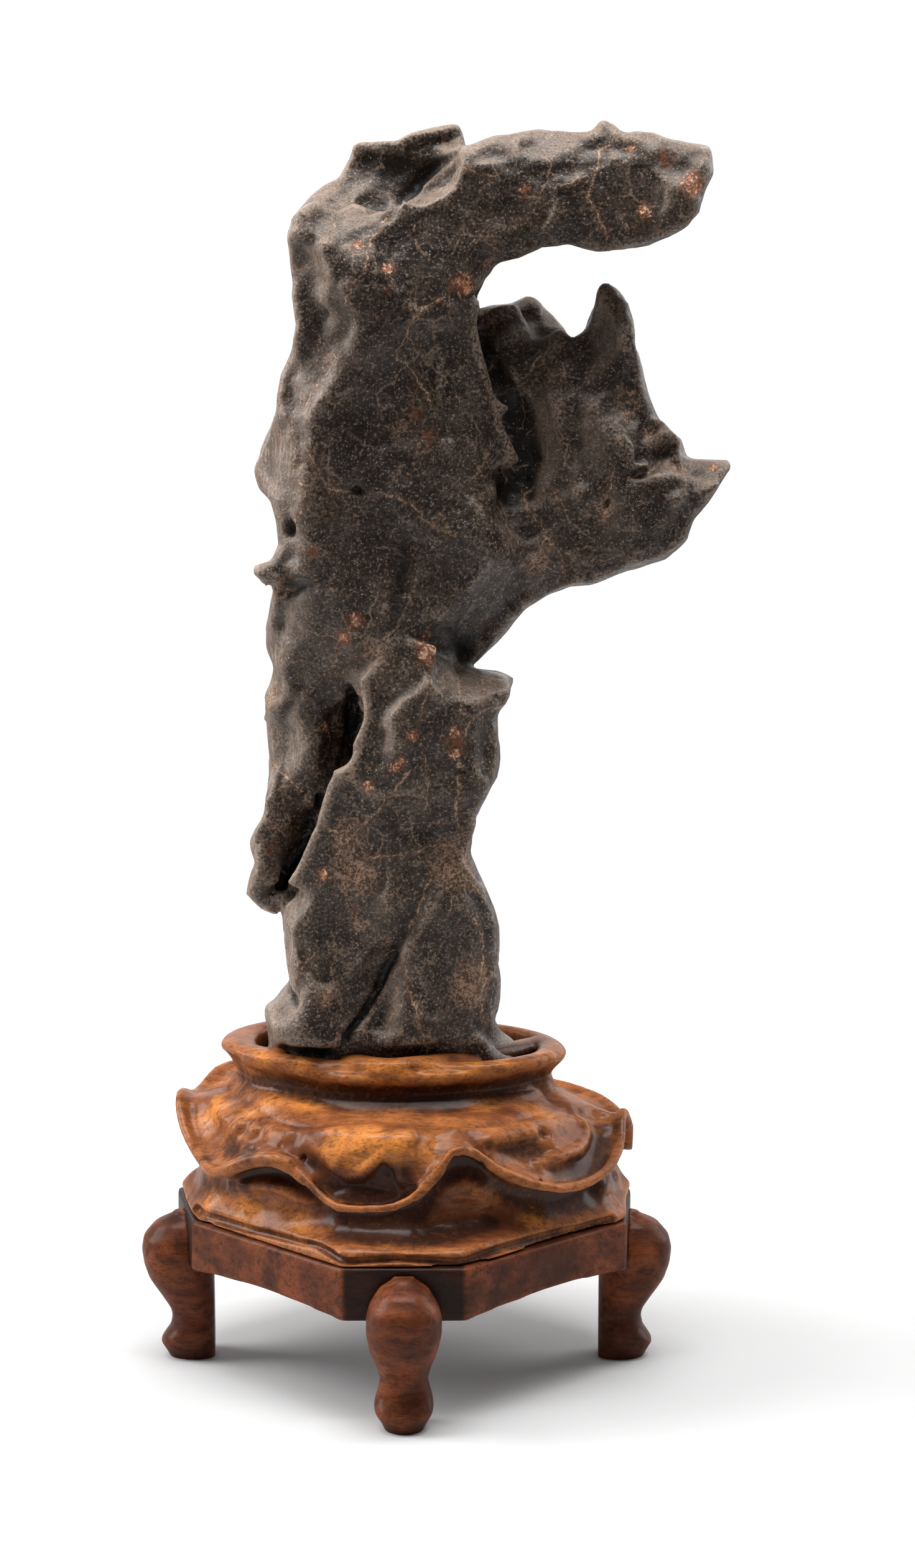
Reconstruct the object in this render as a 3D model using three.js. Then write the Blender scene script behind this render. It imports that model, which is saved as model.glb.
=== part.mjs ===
// A chinese scholar stone on its carved hardwood stand, in millimetres.
// The stone leans up from a narrow foot, carries an arm to the right over an open gap, and has a
// crag with a beak below it. It sits loose in the socket of a carved, skirted top, which stands on
// an eight-sided apron board and four cabriole legs.
// +Z is up, the viewer looks along +Y, and the floor is z = 0.

import * as THREE from "three";
import { ImprovedNoise } from "three/addons/math/ImprovedNoise.js";

// Driving dimensions, in millimetres

const STAND_AXIS_X = -8.2; // the stand's axis, so that the whole object is centred on x = 0
const JOINT_GAP = 0.3; // the hairline left between pieces that meet

const LEG_TOP = 48;
const LEG_REACH = 85; // from the stand's axis to the outside of a knee
const LEG_INNER = 61.5; // from the stand's axis to the flat back of a leg
const KNEE_HEIGHT = 35;
const APRON_BOTTOM = 33;
const APRON_TOP = 50;
const APRON_DEPTH = 68; // from the stand's axis to the flat at the front and the back corner
const APRON_LEFT = 73; // the same, for the corner at the left
const APRON_RIGHT = 72.2; // the same, for the corner at the right
const APRON_FLAT = 19; // half the length of each corner's flat
const APRON_ARCH = 1; // how much the bottom edge rises in the middle of a panel

const TOP_BASE = APRON_TOP + JOINT_GAP;
const BASE_INSET = 0.6; // from the board's edge in to the foot of the carved top
const BASE_BAND = 1.6; // height of the plain band over the board
const WAIST_HEIGHT = 60;
const SHOULDER_HEIGHT = 87;
const SHOULDER_DROP = 7; // how much lower the shoulder is at the back right
const SHOULDER_REACH = 58; // of the turned square that the shoulder follows
const SHOULDER_POWER = 1.35; // 1 is a square with sharp corners, and 2 is a circle
const SKIRT_THICKNESS = 2.6;
const COVE_RISE = 3.5; // from the shoulder up to the foot of the cove under the rim
const COVE_SPREAD = [1.05, 1.12]; // how much wider the foot of the cove is than the neck
const NECK_HEIGHT = 93.5;
const NECK_INSET = [5.5, 4.5]; // from the lip of the rim in to the neck
const RIM_HEIGHT = 102;
const RIM_RISE = 2.8; // how much higher the rim is carved at the left
const SOCKET_FLOOR = 92;
const SOCKET_CENTRE = [-3, 2];
const SOCKET_HALF = [44.5, 24];
const SOCKET_POWER = 2.5; // an oval that is squarer than an ellipse
const RIM_HALF = [55, 35.5];
const RIM_CENTRE = [-4, 1.5];

const STONE_BASE = SOCKET_FLOOR + JOINT_GAP;
const SOCKET_PLAY = 0.8; // between the stone's foot and the wall of the socket
const SOCKET_CLEAR = [1.5, 9]; // over the rim, the stone gets free of the socket's shape
const ABOVE_SOCKET = 200; // lifts the socket's wall out of reach of the stone above the rim
const STONE_CELL = 2.5;
const STONE_TRIANGLES = 5400;

// The stone, as the masses that it is made of

// Each mass has its outline as seen from the front, in (x, z) from the stand's axis, the depth y of
// its middle, the slope of that middle to the right and upward, half its thickness, how far in
// from the outline its edge is rounded, and how softly it grows into the masses before it.
const MASSES = [
  {
    // the broad slab that faces the viewer
    outline: [
      [-17, 367], [-28, 367], [-35, 357], [-35, 344], [-33, 331], [-38, 315], [-40, 297], [-42, 278],
      [-40, 264], [-40, 252], [-35, 236], [-17, 222], [0, 223], [14, 229], [27, 239], [38, 252],
      [40, 266], [34, 275], [30, 285], [29, 302], [22, 323], [22, 336], [17, 354], [7, 367],
      [2, 369], [-6, 364],
    ],
    middle: -3, slope: [0.1, -0.04], half: 25, round: 19, blend: 0,
  },
  {
    // the arm that reaches over the gap
    outline: [
      [-17, 354], [-6, 364], [2, 369], [13, 380], [23, 385], [35, 388], [45, 390], [55, 389],
      [59, 392.5], [63, 392], [66, 389], [70, 390], [78, 389], [85, 386], [93, 384], [94, 377],
      [90.5, 366], [87, 360], [79, 356], [67, 353], [56, 352.5], [50, 356], [44, 355], [36, 351],
      [28, 349], [24, 342], [22, 336], [17, 324], [-2, 324], [-15, 339],
    ],
    middle: -6, slope: [0, 0.1], half: 16, round: 11, blend: 5,
  },
  {
    // the peak that rises behind the left shoulder
    outline: [
      [-35, 360], [-28, 370], [-20, 374], [-18, 378], [-15, 384], [-6, 384], [3, 388], [14, 390.5],
      [18, 386], [19, 380], [17, 365], [9, 346], [-10, 339], [-31, 344],
    ],
    middle: 17, slope: [0, 0.15], half: 12, round: 8, blend: 4,
  },
  {
    // the crag at the right, with its spire and its beak
    outline: [
      [9, 307], [22, 321], [32, 324], [42, 327], [49, 325], [54, 328], [57, 335], [59, 342],
      [61, 343], [66, 341], [69, 338], [70.5, 327], [73, 316], [76, 305], [79, 301], [84, 296],
      [87, 289], [92, 289], [100.5, 288.5], [101, 286], [97, 280], [90, 271], [88, 263], [80, 257],
      [67, 254], [66, 252], [55, 248], [46, 247], [37, 241], [30, 233], [24, 225], [20, 223],
      [9, 225], [-2, 238], [-2, 277],
    ],
    middle: 5, slope: [-0.16, 0.03], half: 17, round: 13, blend: 4,
  },
  {
    // the saddle behind the crag's top edge
    outline: [
      [15, 320], [20, 331], [29, 334], [36, 337], [39, 337], [45, 332], [50, 327], [53, 323],
      [54, 309], [44, 290], [21, 290],
    ],
    middle: 19, slope: [0, 0], half: 12, round: 7, blend: 5,
  },
  {
    // the strip behind the foot, which ends in a hanging tip
    outline: [
      [-25, 266], [-40, 262], [-41, 247], [-43, 237], [-43, 230], [-40, 220], [-42, 217], [-45, 212],
      [-44, 201], [-43, 190], [-44, 178], [-46, 172], [-49, 169], [-48, 160], [-49, 154], [-52, 150],
      [-48, 145], [-41, 141.5], [-37, 146], [-32, 155], [-22, 160], [-10, 164], [2, 187], [6, 217],
      [6, 247], [-6, 264],
    ],
    middle: 6, slope: [0, -0.13], half: 18, round: 11, blend: 6,
  },
  {
    // the column that stands in the socket, with a ledge at its right shoulder
    outline: [
      [-13, 214], [-10, 219], [-5, 229], [-4, 235], [0, 237], [5, 236], [10, 233], [13, 230],
      [18, 225], [29, 223.5], [33, 222], [34, 219], [32, 214], [29, 209], [29, 203], [30, 199],
      [29, 188], [26, 184], [23, 178], [22, 172], [20.5, 167.5], [22, 162], [26, 152], [29, 145],
      [29.5, 131], [31, 125], [30, 118], [29, 111], [30, 107], [35, 104], [37, 100], [38, 84],
      [-44, 84], [-44, 100], [-43, 108], [-44, 117], [-41, 119], [-37, 123], [-37, 130], [-38, 140],
      [-39, 148], [-34, 160], [-29, 171], [-24, 182], [-20, 189], [-16, 194], [-15, 200], [-13, 207],
    ],
    middle: -4, slope: [0, -0.05], half: 21, round: 10, blend: 2.5,
  },
  {
    // the sheet over the slab's right edge, torn to two points
    outline: [
      [8, 352], [22, 337], [22, 328], [25, 315], [27, 309], [33, 305], [29, 302], [31, 297],
      [35.5, 289], [30, 287], [31, 281], [28, 268], [14, 262], [4, 300],
    ],
    middle: -15, slope: [0.1, 0], half: 8, round: 6, blend: 3,
  },
  {
    // the swelling at the left of the slab
    outline: [
      [-34, 303], [-40, 302], [-43, 298], [-46, 290], [-47, 284], [-45, 279], [-41, 277], [-33, 280],
      [-28, 291],
    ],
    middle: 4, slope: [0, 0], half: 13, round: 8, blend: 4,
  },
  {
    // the horn at the left
    outline: [
      [-28, 264], [-35, 264], [-40, 259], [-47, 258], [-47, 256], [-44, 252], [-42, 250.5], [-38, 253],
      [-30, 251], [-17, 252], [-17, 260],
    ],
    middle: -14, slope: [0.3, 0], half: 7, round: 5, blend: 3,
  },
];

// Hollows worn into the masses, each a chain of [x, y, z, radius].
const HOLLOWS = [
  [[-17, -9, 209, 4], [-18, -8, 201, 5], [-23, -6, 193, 4]],
  [[-25, -9, 186, 2.5], [-28, -8, 179, 3], [-34, -6, 168, 4], [-38.5, -6, 157, 4], [-41, -5, 147, 3]],
  [[30, -12, 313, 4], [35, -10, 302, 6], [37, -10, 290, 6], [35, -11, 281, 4]],
  [[0, -30, 253, 1.5], [1, -29, 246, 3], [1, -28, 239, 2.5]],
  [[4, -30, 268, 4], [8, -30, 264, 3]],
  [[-5, -27, 129, 1.5], [-9, -27, 120, 2.5], [-13, -27, 112, 3.5], [-17, -26, 104, 4], [-18, -26, 94, 4]],
  [[-13, -30, 279, 2]],
  [[-17, -9, 372, 5], [-5, -8, 374, 7], [6, -5, 380, 6]],
  [[-30, -20, 350, 7], [-31, -21, 336, 7]],
  [[24, 4, 331, 4], [33, 5, 331, 4], [40, 6, 331, 3]],
  [[69, -14, 293, 3], [76, -14, 294, 4], [80, -13, 299, 3]],
  [[-12, 32, 332, 8], [-6, 33, 304, 9], [2, 31, 274, 7]],
  [[-30, 27, 240, 6], [-24, 28, 225, 5]],
  [[14, 24, 205, 7], [9, 23, 180, 6]],
  [[-14, 22, 142, 7], [-10, 23, 122, 6]],
  [[60, 22, 305, 8], [72, 16, 284, 6]],
  [[48, 14, 374, 6], [70, 14, 371, 5]],
];

// Ridges and lumps that stand proud, each a chain of [x, y, z, radius].
const RIDGES = [
  [[-12, -24, 349, 5], [-9, -23, 358, 4], [-2, -21, 365, 4], [8, -18, 374, 4], [17, -15, 380, 3]],
  [[61, -10, 302, 5], [74, -14, 284, 7], [70, -12, 268, 6]],
  [[63, -4, 336, 3], [66, -8, 322, 5]],
  [[3, -16, 134, 7], [4, -16, 118, 10], [2, -16, 102, 11]],
  [[-30, -17, 112, 7], [-26, -17, 100, 8]],
  [[-30, -18, 258, 4], [-20, -26, 254, 4]],
  [[20, 24, 345, 5], [10, 29, 312, 6], [-12, 30, 286, 6]],
  [[-30, 20, 300, 6], [-20, 25, 262, 7], [-5, 22, 228, 6]],
  [[5, 17, 160, 6], [0, 19, 130, 7], [10, 18, 108, 6]],
  [[40, 20, 262, 7], [58, 14, 270, 7], [82, 8, 278, 5]],
  [[20, 11, 380, 5], [50, 9, 378, 5], [84, 8, 374, 4]],
];

const HOLLOW_BLEND = 2.5;
const RIDGE_BLEND = 6;

// Relief of the broad faces: [wavelength, height] of each layer of worn lumps.
const FACE_RELIEF = [[46, 6], [24, 3], [13, 1]];
const SKIN_RELIEF = [[17, 0.7]];
const FULL_RELIEF_HALF = 20; // a mass with less than this half thickness has a lower relief
const SIDES_APART = 60; // the relief of the front and of the back is read this far to each side

const noise = new ImprovedNoise();

function layeredNoise(layers, x, y, z) {
  let sum = 0;
  for (const [wavelength, height] of layers) {
    sum += height * noise.noise(x / wavelength, y / wavelength, z / wavelength);
  }
  return sum;
}

// The distance from (x, z) to a closed outline, negative inside it.
function outlineDistance(outline, x, z) {
  let nearest = Infinity;
  let inside = false;
  for (let i = 0, j = outline.length - 1; i < outline.length; j = i++) {
    const [ax, az] = outline[j];
    const [bx, bz] = outline[i];
    const ex = bx - ax;
    const ez = bz - az;
    const along = THREE.MathUtils.clamp(((x - ax) * ex + (z - az) * ez) / (ex * ex + ez * ez), 0, 1);
    nearest = Math.min(nearest, Math.hypot(x - ax - along * ex, z - az - along * ez));
    if (az > z !== bz > z && x < ax + ((z - az) * ex) / ez) {
      inside = !inside;
    }
  }
  return inside ? -nearest : nearest;
}

// The distance from a point to a chain of balls joined by cones.
function chainDistance(chain, x, y, z) {
  let nearest = Infinity;
  for (let i = 0; i < Math.max(chain.length - 1, 1); i++) {
    const a = chain[i];
    const b = chain[Math.min(i + 1, chain.length - 1)];
    const span = [b[0] - a[0], b[1] - a[1], b[2] - a[2]];
    const length2 = Math.max(span[0] ** 2 + span[1] ** 2 + span[2] ** 2, 1e-6);
    const dot = (x - a[0]) * span[0] + (y - a[1]) * span[1] + (z - a[2]) * span[2];
    const t = THREE.MathUtils.clamp(dot / length2, 0, 1);
    const away = Math.hypot(x - a[0] - t * span[0], y - a[1] - t * span[1], z - a[2] - t * span[2]);
    nearest = Math.min(nearest, away - THREE.MathUtils.lerp(a[3], b[3], t));
  }
  return nearest;
}

function softMin(a, b, blend) {
  if (blend <= 0) {
    return Math.min(a, b);
  }
  const overlap = Math.max(blend - Math.abs(a - b), 0) / blend;
  return Math.min(a, b) - (overlap * overlap * blend) / 4;
}

// Half the thickness of the mass changes from place to place, apart on its front and its back.
function faceRelief(x, z, side) {
  return layeredNoise(FACE_RELIEF, x, side * SIDES_APART, z);
}

// How far a point lies outside the stone, negative inside it. edges holds the distance of (x, z)
// to each mass's outline, and front and back hold the relief there.
function stoneField(x, y, z, edges, front, back) {
  let field = Infinity;
  MASSES.forEach((mass, i) => {
    const [centreX, centreZ] = mass.centre;
    const middle = mass.middle + mass.slope[0] * (x - centreX) + mass.slope[1] * (z - centreZ);
    const relief = (y < middle ? front : back) * Math.min(mass.half / FULL_RELIEF_HALF, 1);
    const half = mass.half + relief;
    const across = Math.max(edges[i] + mass.round, 0) / mass.round;
    const through = (y - middle) / half;
    const distance = (Math.hypot(across, through) - 1) * Math.min(mass.round, half);
    field = softMin(field, distance, mass.blend);
  });
  for (const chain of RIDGES) {
    field = softMin(field, chainDistance(chain, x, y, z), RIDGE_BLEND);
  }
  for (const chain of HOLLOWS) {
    field = -softMin(-field, chainDistance(chain, x, y, z), HOLLOW_BLEND);
  }
  return field + layeredNoise(SKIN_RELIEF, x, y, z);
}

// The length of a vector in a rounded square: power 2 is a circle, and more is squarer.
function superNorm(x, y, power) {
  return (Math.abs(x) ** power + Math.abs(y) ** power) ** (1 / power);
}

// The foot is worn to fit the socket, with a flat underside.
function footField(x, y, z, field) {
  const wallX = (x - SOCKET_CENTRE[0]) / (SOCKET_HALF[0] - SOCKET_PLAY);
  const wallY = (y - SOCKET_CENTRE[1]) / (SOCKET_HALF[1] - SOCKET_PLAY);
  const wall = (superNorm(wallX, wallY, SOCKET_POWER) - 1) * SOCKET_HALF[1];
  const [clearFrom, clearTo] = SOCKET_CLEAR.map((rise) => RIM_HEIGHT + RIM_RISE + rise);
  const above = THREE.MathUtils.smoothstep(z, clearFrom, clearTo);
  const fitted = Math.max(field, wall - ABOVE_SOCKET * above);
  return Math.max(fitted, STONE_BASE - z);
}

// The surface where a sampled field is zero, by cutting each cell of the grid into six tetrahedra.
function surfaceOfField(sample, low, counts, cell) {
  const [nx, ny, nz] = counts;
  const values = new Float32Array(nx * ny * nz);
  const at = (i, j, k) => (k * ny + j) * nx + i;
  for (let k = 0; k < nz; k++) {
    for (let i = 0; i < nx; i++) {
      const column = sample(low[0] + i * cell, low[2] + k * cell);
      for (let j = 0; j < ny; j++) {
        const value = column(low[1] + j * cell);
        values[at(i, j, k)] = Math.abs(value) < 1e-4 ? 1e-4 : value;
      }
    }
  }
  const positions = [];
  const faces = [];
  const cuts = new Map();
  const cut = (a, b) => {
    const key = Math.min(a, b) * values.length + Math.max(a, b);
    if (!cuts.has(key)) {
      const first = Math.min(a, b);
      const second = Math.max(a, b);
      const t = values[first] / (values[first] - values[second]);
      const place = (n) => [n % nx, Math.floor(n / nx) % ny, Math.floor(n / (nx * ny))];
      const p = place(first);
      const q = place(second);
      cuts.set(key, positions.length);
      positions.push(p.map((value, axis) => low[axis] + cell * (value + t * (q[axis] - value))));
    }
    return cuts.get(key);
  };
  const tetrahedron = (corners) => {
    const inside = corners.filter((n) => values[n] < 0);
    const outside = corners.filter((n) => values[n] >= 0);
    let ring = [];
    if (inside.length === 1) {
      ring = outside.map((n) => cut(inside[0], n));
    } else if (inside.length === 3) {
      ring = inside.map((n) => cut(n, outside[0]));
    } else if (inside.length === 2) {
      ring = [
        cut(inside[0], outside[0]),
        cut(inside[0], outside[1]),
        cut(inside[1], outside[1]),
        cut(inside[1], outside[0]),
      ];
    }
    for (let n = 2; n < ring.length; n++) {
      faces.push(facingOut([ring[0], ring[n - 1], ring[n]], inside[0]));
    }
  };
  const facingOut = (face, insideCorner) => {
    const [a, b, c] = face.map((n) => new THREE.Vector3(...positions[n]));
    const corner = new THREE.Vector3(
      low[0] + cell * (insideCorner % nx),
      low[1] + cell * (Math.floor(insideCorner / nx) % ny),
      low[2] + cell * Math.floor(insideCorner / (nx * ny)),
    );
    const normal = b.clone().sub(a).cross(c.clone().sub(a));
    return normal.dot(a.sub(corner)) >= 0 ? face : [face[0], face[2], face[1]];
  };
  for (let k = 0; k < nz - 1; k++) {
    for (let j = 0; j < ny - 1; j++) {
      for (let i = 0; i < nx - 1; i++) {
        const corner = (n) => at(i + (n & 1), j + ((n >> 1) & 1), k + (n >> 2));
        for (const [a, b] of [[1, 3], [3, 2], [2, 6], [6, 4], [4, 5], [5, 1]]) {
          tetrahedron([corner(0), corner(a), corner(b), corner(7)]);
        }
      }
    }
  }
  return { positions, faces };
}

// Fewer triangles for the same shape: the edge that changes the surface least is closed up first.
function simplified({ positions, faces }, wanted) {
  const points = positions.map((p) => new THREE.Vector3(...p));
  const around = points.map(() => new Set());
  const quadrics = points.map(() => new Float64Array(10));
  const alive = faces.map(() => true);
  const stamp = new Uint32Array(points.length);
  const corners = faces.map((face) => face.slice());

  const normalOf = (a, b, c) => b.clone().sub(a).cross(c.clone().sub(a));
  corners.forEach((face, f) => {
    const [a, b, c] = face.map((n) => points[n]);
    const normal = normalOf(a, b, c);
    const area = normal.length();
    normal.divideScalar(Math.max(area, 1e-12));
    const plane = [normal.x, normal.y, normal.z, -normal.dot(a)];
    for (const n of face) {
      around[n].add(f);
      let slot = 0;
      for (let r = 0; r < 4; r++) {
        for (let s = r; s < 4; s++) {
          quadrics[n][slot++] += area * plane[r] * plane[s];
        }
      }
    }
  });

  const errorAt = (q, p) =>
    q[0] * p.x * p.x + 2 * q[1] * p.x * p.y + 2 * q[2] * p.x * p.z + 2 * q[3] * p.x +
    q[4] * p.y * p.y + 2 * q[5] * p.y * p.z + 2 * q[6] * p.y +
    q[7] * p.z * p.z + 2 * q[8] * p.z + q[9];

  const bestPoint = (q, a, b) => {
    const matrix = new THREE.Matrix3().set(q[0], q[1], q[2], q[1], q[4], q[5], q[2], q[5], q[7]);
    const middle = a.clone().add(b).multiplyScalar(0.5);
    const choices = [a, b, middle];
    if (Math.abs(matrix.determinant()) > 1e-3) {
      const solved = new THREE.Vector3(-q[3], -q[6], -q[8]).applyMatrix3(matrix.invert());
      if (solved.distanceTo(middle) < a.distanceTo(b)) {
        choices.push(solved);
      }
    }
    choices.sort((p, r) => errorAt(q, p) - errorAt(q, r));
    return choices[0].clone();
  };

  const heap = [];
  const before = (i, j) => heap[i].cost < heap[j].cost;
  const swap = (i, j) => {
    [heap[i], heap[j]] = [heap[j], heap[i]];
  };
  const push = (entry) => {
    heap.push(entry);
    let i = heap.length - 1;
    while (i > 0 && before(i, (i - 1) >> 1)) {
      swap(i, (i - 1) >> 1);
      i = (i - 1) >> 1;
    }
  };
  const pop = () => {
    swap(0, heap.length - 1);
    const top = heap.pop();
    let i = 0;
    while (2 * i + 1 < heap.length) {
      let child = 2 * i + 1;
      if (child + 1 < heap.length && before(child + 1, child)) {
        child++;
      }
      if (!before(child, i)) {
        break;
      }
      swap(child, i);
      i = child;
    }
    return top;
  };

  const neighbours = (n) => {
    const found = new Set();
    for (const f of around[n]) {
      corners[f].forEach((m) => found.add(m));
    }
    found.delete(n);
    return found;
  };
  const offer = (a, b) => {
    const sum = quadrics[a].map((value, slot) => value + quadrics[b][slot]);
    const point = bestPoint(sum, points[a], points[b]);
    const length = points[a].distanceToSquared(points[b]);
    push({ a, b, point, cost: errorAt(sum, point) + 1e-4 * length, stamps: [stamp[a], stamp[b]] });
  };
  // A face beside the edge may not fold over when its corner moves to the new point.
  const folds = (n, other, point) => {
    for (const f of around[n]) {
      const face = corners[f];
      if (face.includes(other)) {
        continue;
      }
      const now = normalOf(...face.map((m) => points[m]));
      const then = normalOf(...face.map((m) => (m === n ? point : points[m])));
      if (now.dot(then) <= 0.25 * now.length() * then.length()) {
        return true;
      }
    }
    return false;
  };

  points.forEach((_, a) => {
    for (const b of neighbours(a)) {
      if (a < b) {
        offer(a, b);
      }
    }
  });

  let count = faces.length;
  while (count > wanted && heap.length) {
    const { a, b, point, stamps } = pop();
    if (stamp[a] !== stamps[0] || stamp[b] !== stamps[1]) {
      continue;
    }
    const nearB = neighbours(b);
    const shared = [...neighbours(a)].filter((n) => nearB.has(n));
    if (shared.length !== 2 || folds(a, b, point) || folds(b, a, point)) {
      continue;
    }
    points[a].copy(point);
    quadrics[a] = quadrics[a].map((value, slot) => value + quadrics[b][slot]);
    for (const f of [...around[b]]) {
      if (corners[f].includes(a)) {
        alive[f] = false;
        count--;
        corners[f].forEach((n) => around[n].delete(f));
      } else {
        corners[f] = corners[f].map((n) => (n === b ? a : n));
        around[a].add(f);
      }
    }
    around[b].clear();
    stamp[b]++;
    stamp[a]++;
    for (const n of neighbours(a)) {
      offer(a, n);
    }
  }
  return { positions: points.map((p) => p.toArray()), faces: corners.filter((_, f) => alive[f]) };
}

function geometryOf({ positions, faces }) {
  const used = new Map();
  const kept = [];
  const index = faces.flat().map((n) => {
    if (!used.has(n)) {
      used.set(n, kept.length);
      kept.push(positions[n]);
    }
    return used.get(n);
  });
  const geometry = new THREE.BufferGeometry();
  geometry.setAttribute("position", new THREE.Float32BufferAttribute(kept.flat(), 3));
  geometry.setIndex(index);
  geometry.computeVertexNormals();
  return geometry;
}

function stoneGeometry() {
  const low = [-58, -42, STONE_BASE - STONE_CELL * 1.5];
  const high = [106, 46, 398];
  const counts = low.map((value, axis) => Math.ceil((high[axis] - value) / STONE_CELL) + 1);
  for (const mass of MASSES) {
    const box = new THREE.Box2().setFromPoints(mass.outline.map((p) => new THREE.Vector2(...p)));
    mass.centre = box.getCenter(new THREE.Vector2()).toArray();
  }
  const sample = (x, z) => {
    const edges = MASSES.map((mass) => outlineDistance(mass.outline, x, z));
    const front = faceRelief(x, z, -1);
    const back = faceRelief(x, z, 1);
    return (y) => footField(x, y, z, stoneField(x, y, z, edges, front, back));
  };
  return geometryOf(simplified(surfaceOfField(sample, low, counts, STONE_CELL), STONE_TRIANGLES));
}

// Closed lofts, for the stand

// A closed skin over rings of points, each ring given from the foot of the loft to its head, with
// the first and last ring closed by a fan to the middle of the ring.
function loftGeometry(rings) {
  const sides = rings[0].length;
  const positions = rings.flat();
  const faces = [];
  for (let r = 0; r < rings.length - 1; r++) {
    for (let s = 0; s < sides; s++) {
      const next = (s + 1) % sides;
      const a = r * sides + s;
      const b = r * sides + next;
      faces.push([a, b, b + sides], [a, b + sides, a + sides]);
    }
  }
  const close = (ring, first, outward) => {
    const middle = positions.length;
    const sum = ring.reduce((total, p) => total.map((value, axis) => value + p[axis]), [0, 0, 0]);
    positions.push(sum.map((value) => value / sides));
    for (let s = 0; s < sides; s++) {
      const a = first + s;
      const b = first + ((s + 1) % sides);
      faces.push(outward ? [middle, a, b] : [middle, b, a]);
    }
  };
  close(rings[0], 0, false);
  close(rings[rings.length - 1], (rings.length - 1) * sides, true);
  return geometryOf({ positions, faces });
}

// The carved top

const TOP_SIDES = 72;

// The skirt's lower edge, counter-clockwise as seen from above, in (x, y, z) from the stand's axis.
const SKIRT_EDGE = [
  [-13, -62, 67], [-3, -63, 68], [5, -61, 72], [10, -58, 77], [14.5, -56, 83], [18, -54, 84],
  [22, -52, 82], [28, -51, 77], [37, -48, 71.5], [46, -44, 68.5], [56, -36, 67.5], [64, -25, 69.5],
  [68, -14, 74], [69, -3, 81.5], [71.5, 6, 74], [72.5, 14, 66], [70, 24, 71], [62, 37, 75],
  [46, 48, 77], [30, 54, 76], [18, 58, 73], [4, 62, 68], [-12, 62, 69], [-28, 56, 76],
  [-46, 47, 84], [-60, 35, 86], [-68, 20, 81], [-72, 5, 85], [-71, -6, 79], [-67, -15, 73],
  [-60, -32, 70], [-54, -38, 73.5], [-47, -42, 77], [-40, -46, 78.5], [-33, -50, 75],
  [-27, -54, 70], [-21, -59, 67],
];

const skirtCurve = new THREE.CatmullRomCurve3(
  SKIRT_EDGE.map((p) => new THREE.Vector3(...p)),
  true,
);

// The rim is carved a little higher at the left than at the right.
function rimHeight(turn) {
  return RIM_HEIGHT + (RIM_RISE / 2) * (1 - Math.cos(turn));
}

function onOval(centre, half, turn, power = 2) {
  const x = Math.cos(turn);
  const y = Math.sin(turn);
  const scale = 1 / superNorm(x, y, power);
  return [centre[0] + half[0] * scale * x, centre[1] + half[1] * scale * y];
}

// A square turned on its corner, with rounded corners, at a turn from the stand's axis.
function onTurnedSquare(reach, turn, softness) {
  const x = Math.cos(turn);
  const y = Math.sin(turn);
  const radius = reach / (Math.abs(x) ** softness + Math.abs(y) ** softness) ** (1 / softness);
  return [radius * x, radius * y];
}

// The eight corners of the board as seen from above, counter-clockwise. It isn't quite regular.
const APRON_OUTLINE = [
  [APRON_FLAT, -APRON_DEPTH], [70, -APRON_FLAT], [72.5, APRON_FLAT], [APRON_FLAT, APRON_DEPTH],
  [-APRON_FLAT, APRON_DEPTH], [-74, APRON_FLAT], [-67.5, -APRON_FLAT], [-APRON_FLAT, -APRON_DEPTH],
];

// How far the board reaches at a turn from the stand's axis.
function apronReach(turn) {
  const direction = [Math.cos(turn), Math.sin(turn)];
  let reach = 0;
  APRON_OUTLINE.forEach((b, i) => {
    const a = APRON_OUTLINE[(i + APRON_OUTLINE.length - 1) % APRON_OUTLINE.length];
    const edge = [b[0] - a[0], b[1] - a[1]];
    const cross = direction[0] * edge[1] - direction[1] * edge[0];
    const along = (a[0] * edge[1] - a[1] * edge[0]) / cross;
    const share = (a[0] * direction[1] - a[1] * direction[0]) / cross;
    if (along > 0 && share >= -1e-6 && share <= 1 + 1e-6) {
      reach = Math.max(reach, along);
    }
  });
  return reach;
}

// The shoulder over the skirt falls away towards the back right.
function shoulderDrop(turn) {
  return SHOULDER_DROP * Math.max(Math.cos(turn - Math.PI / 4), 0) ** 2;
}

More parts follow.
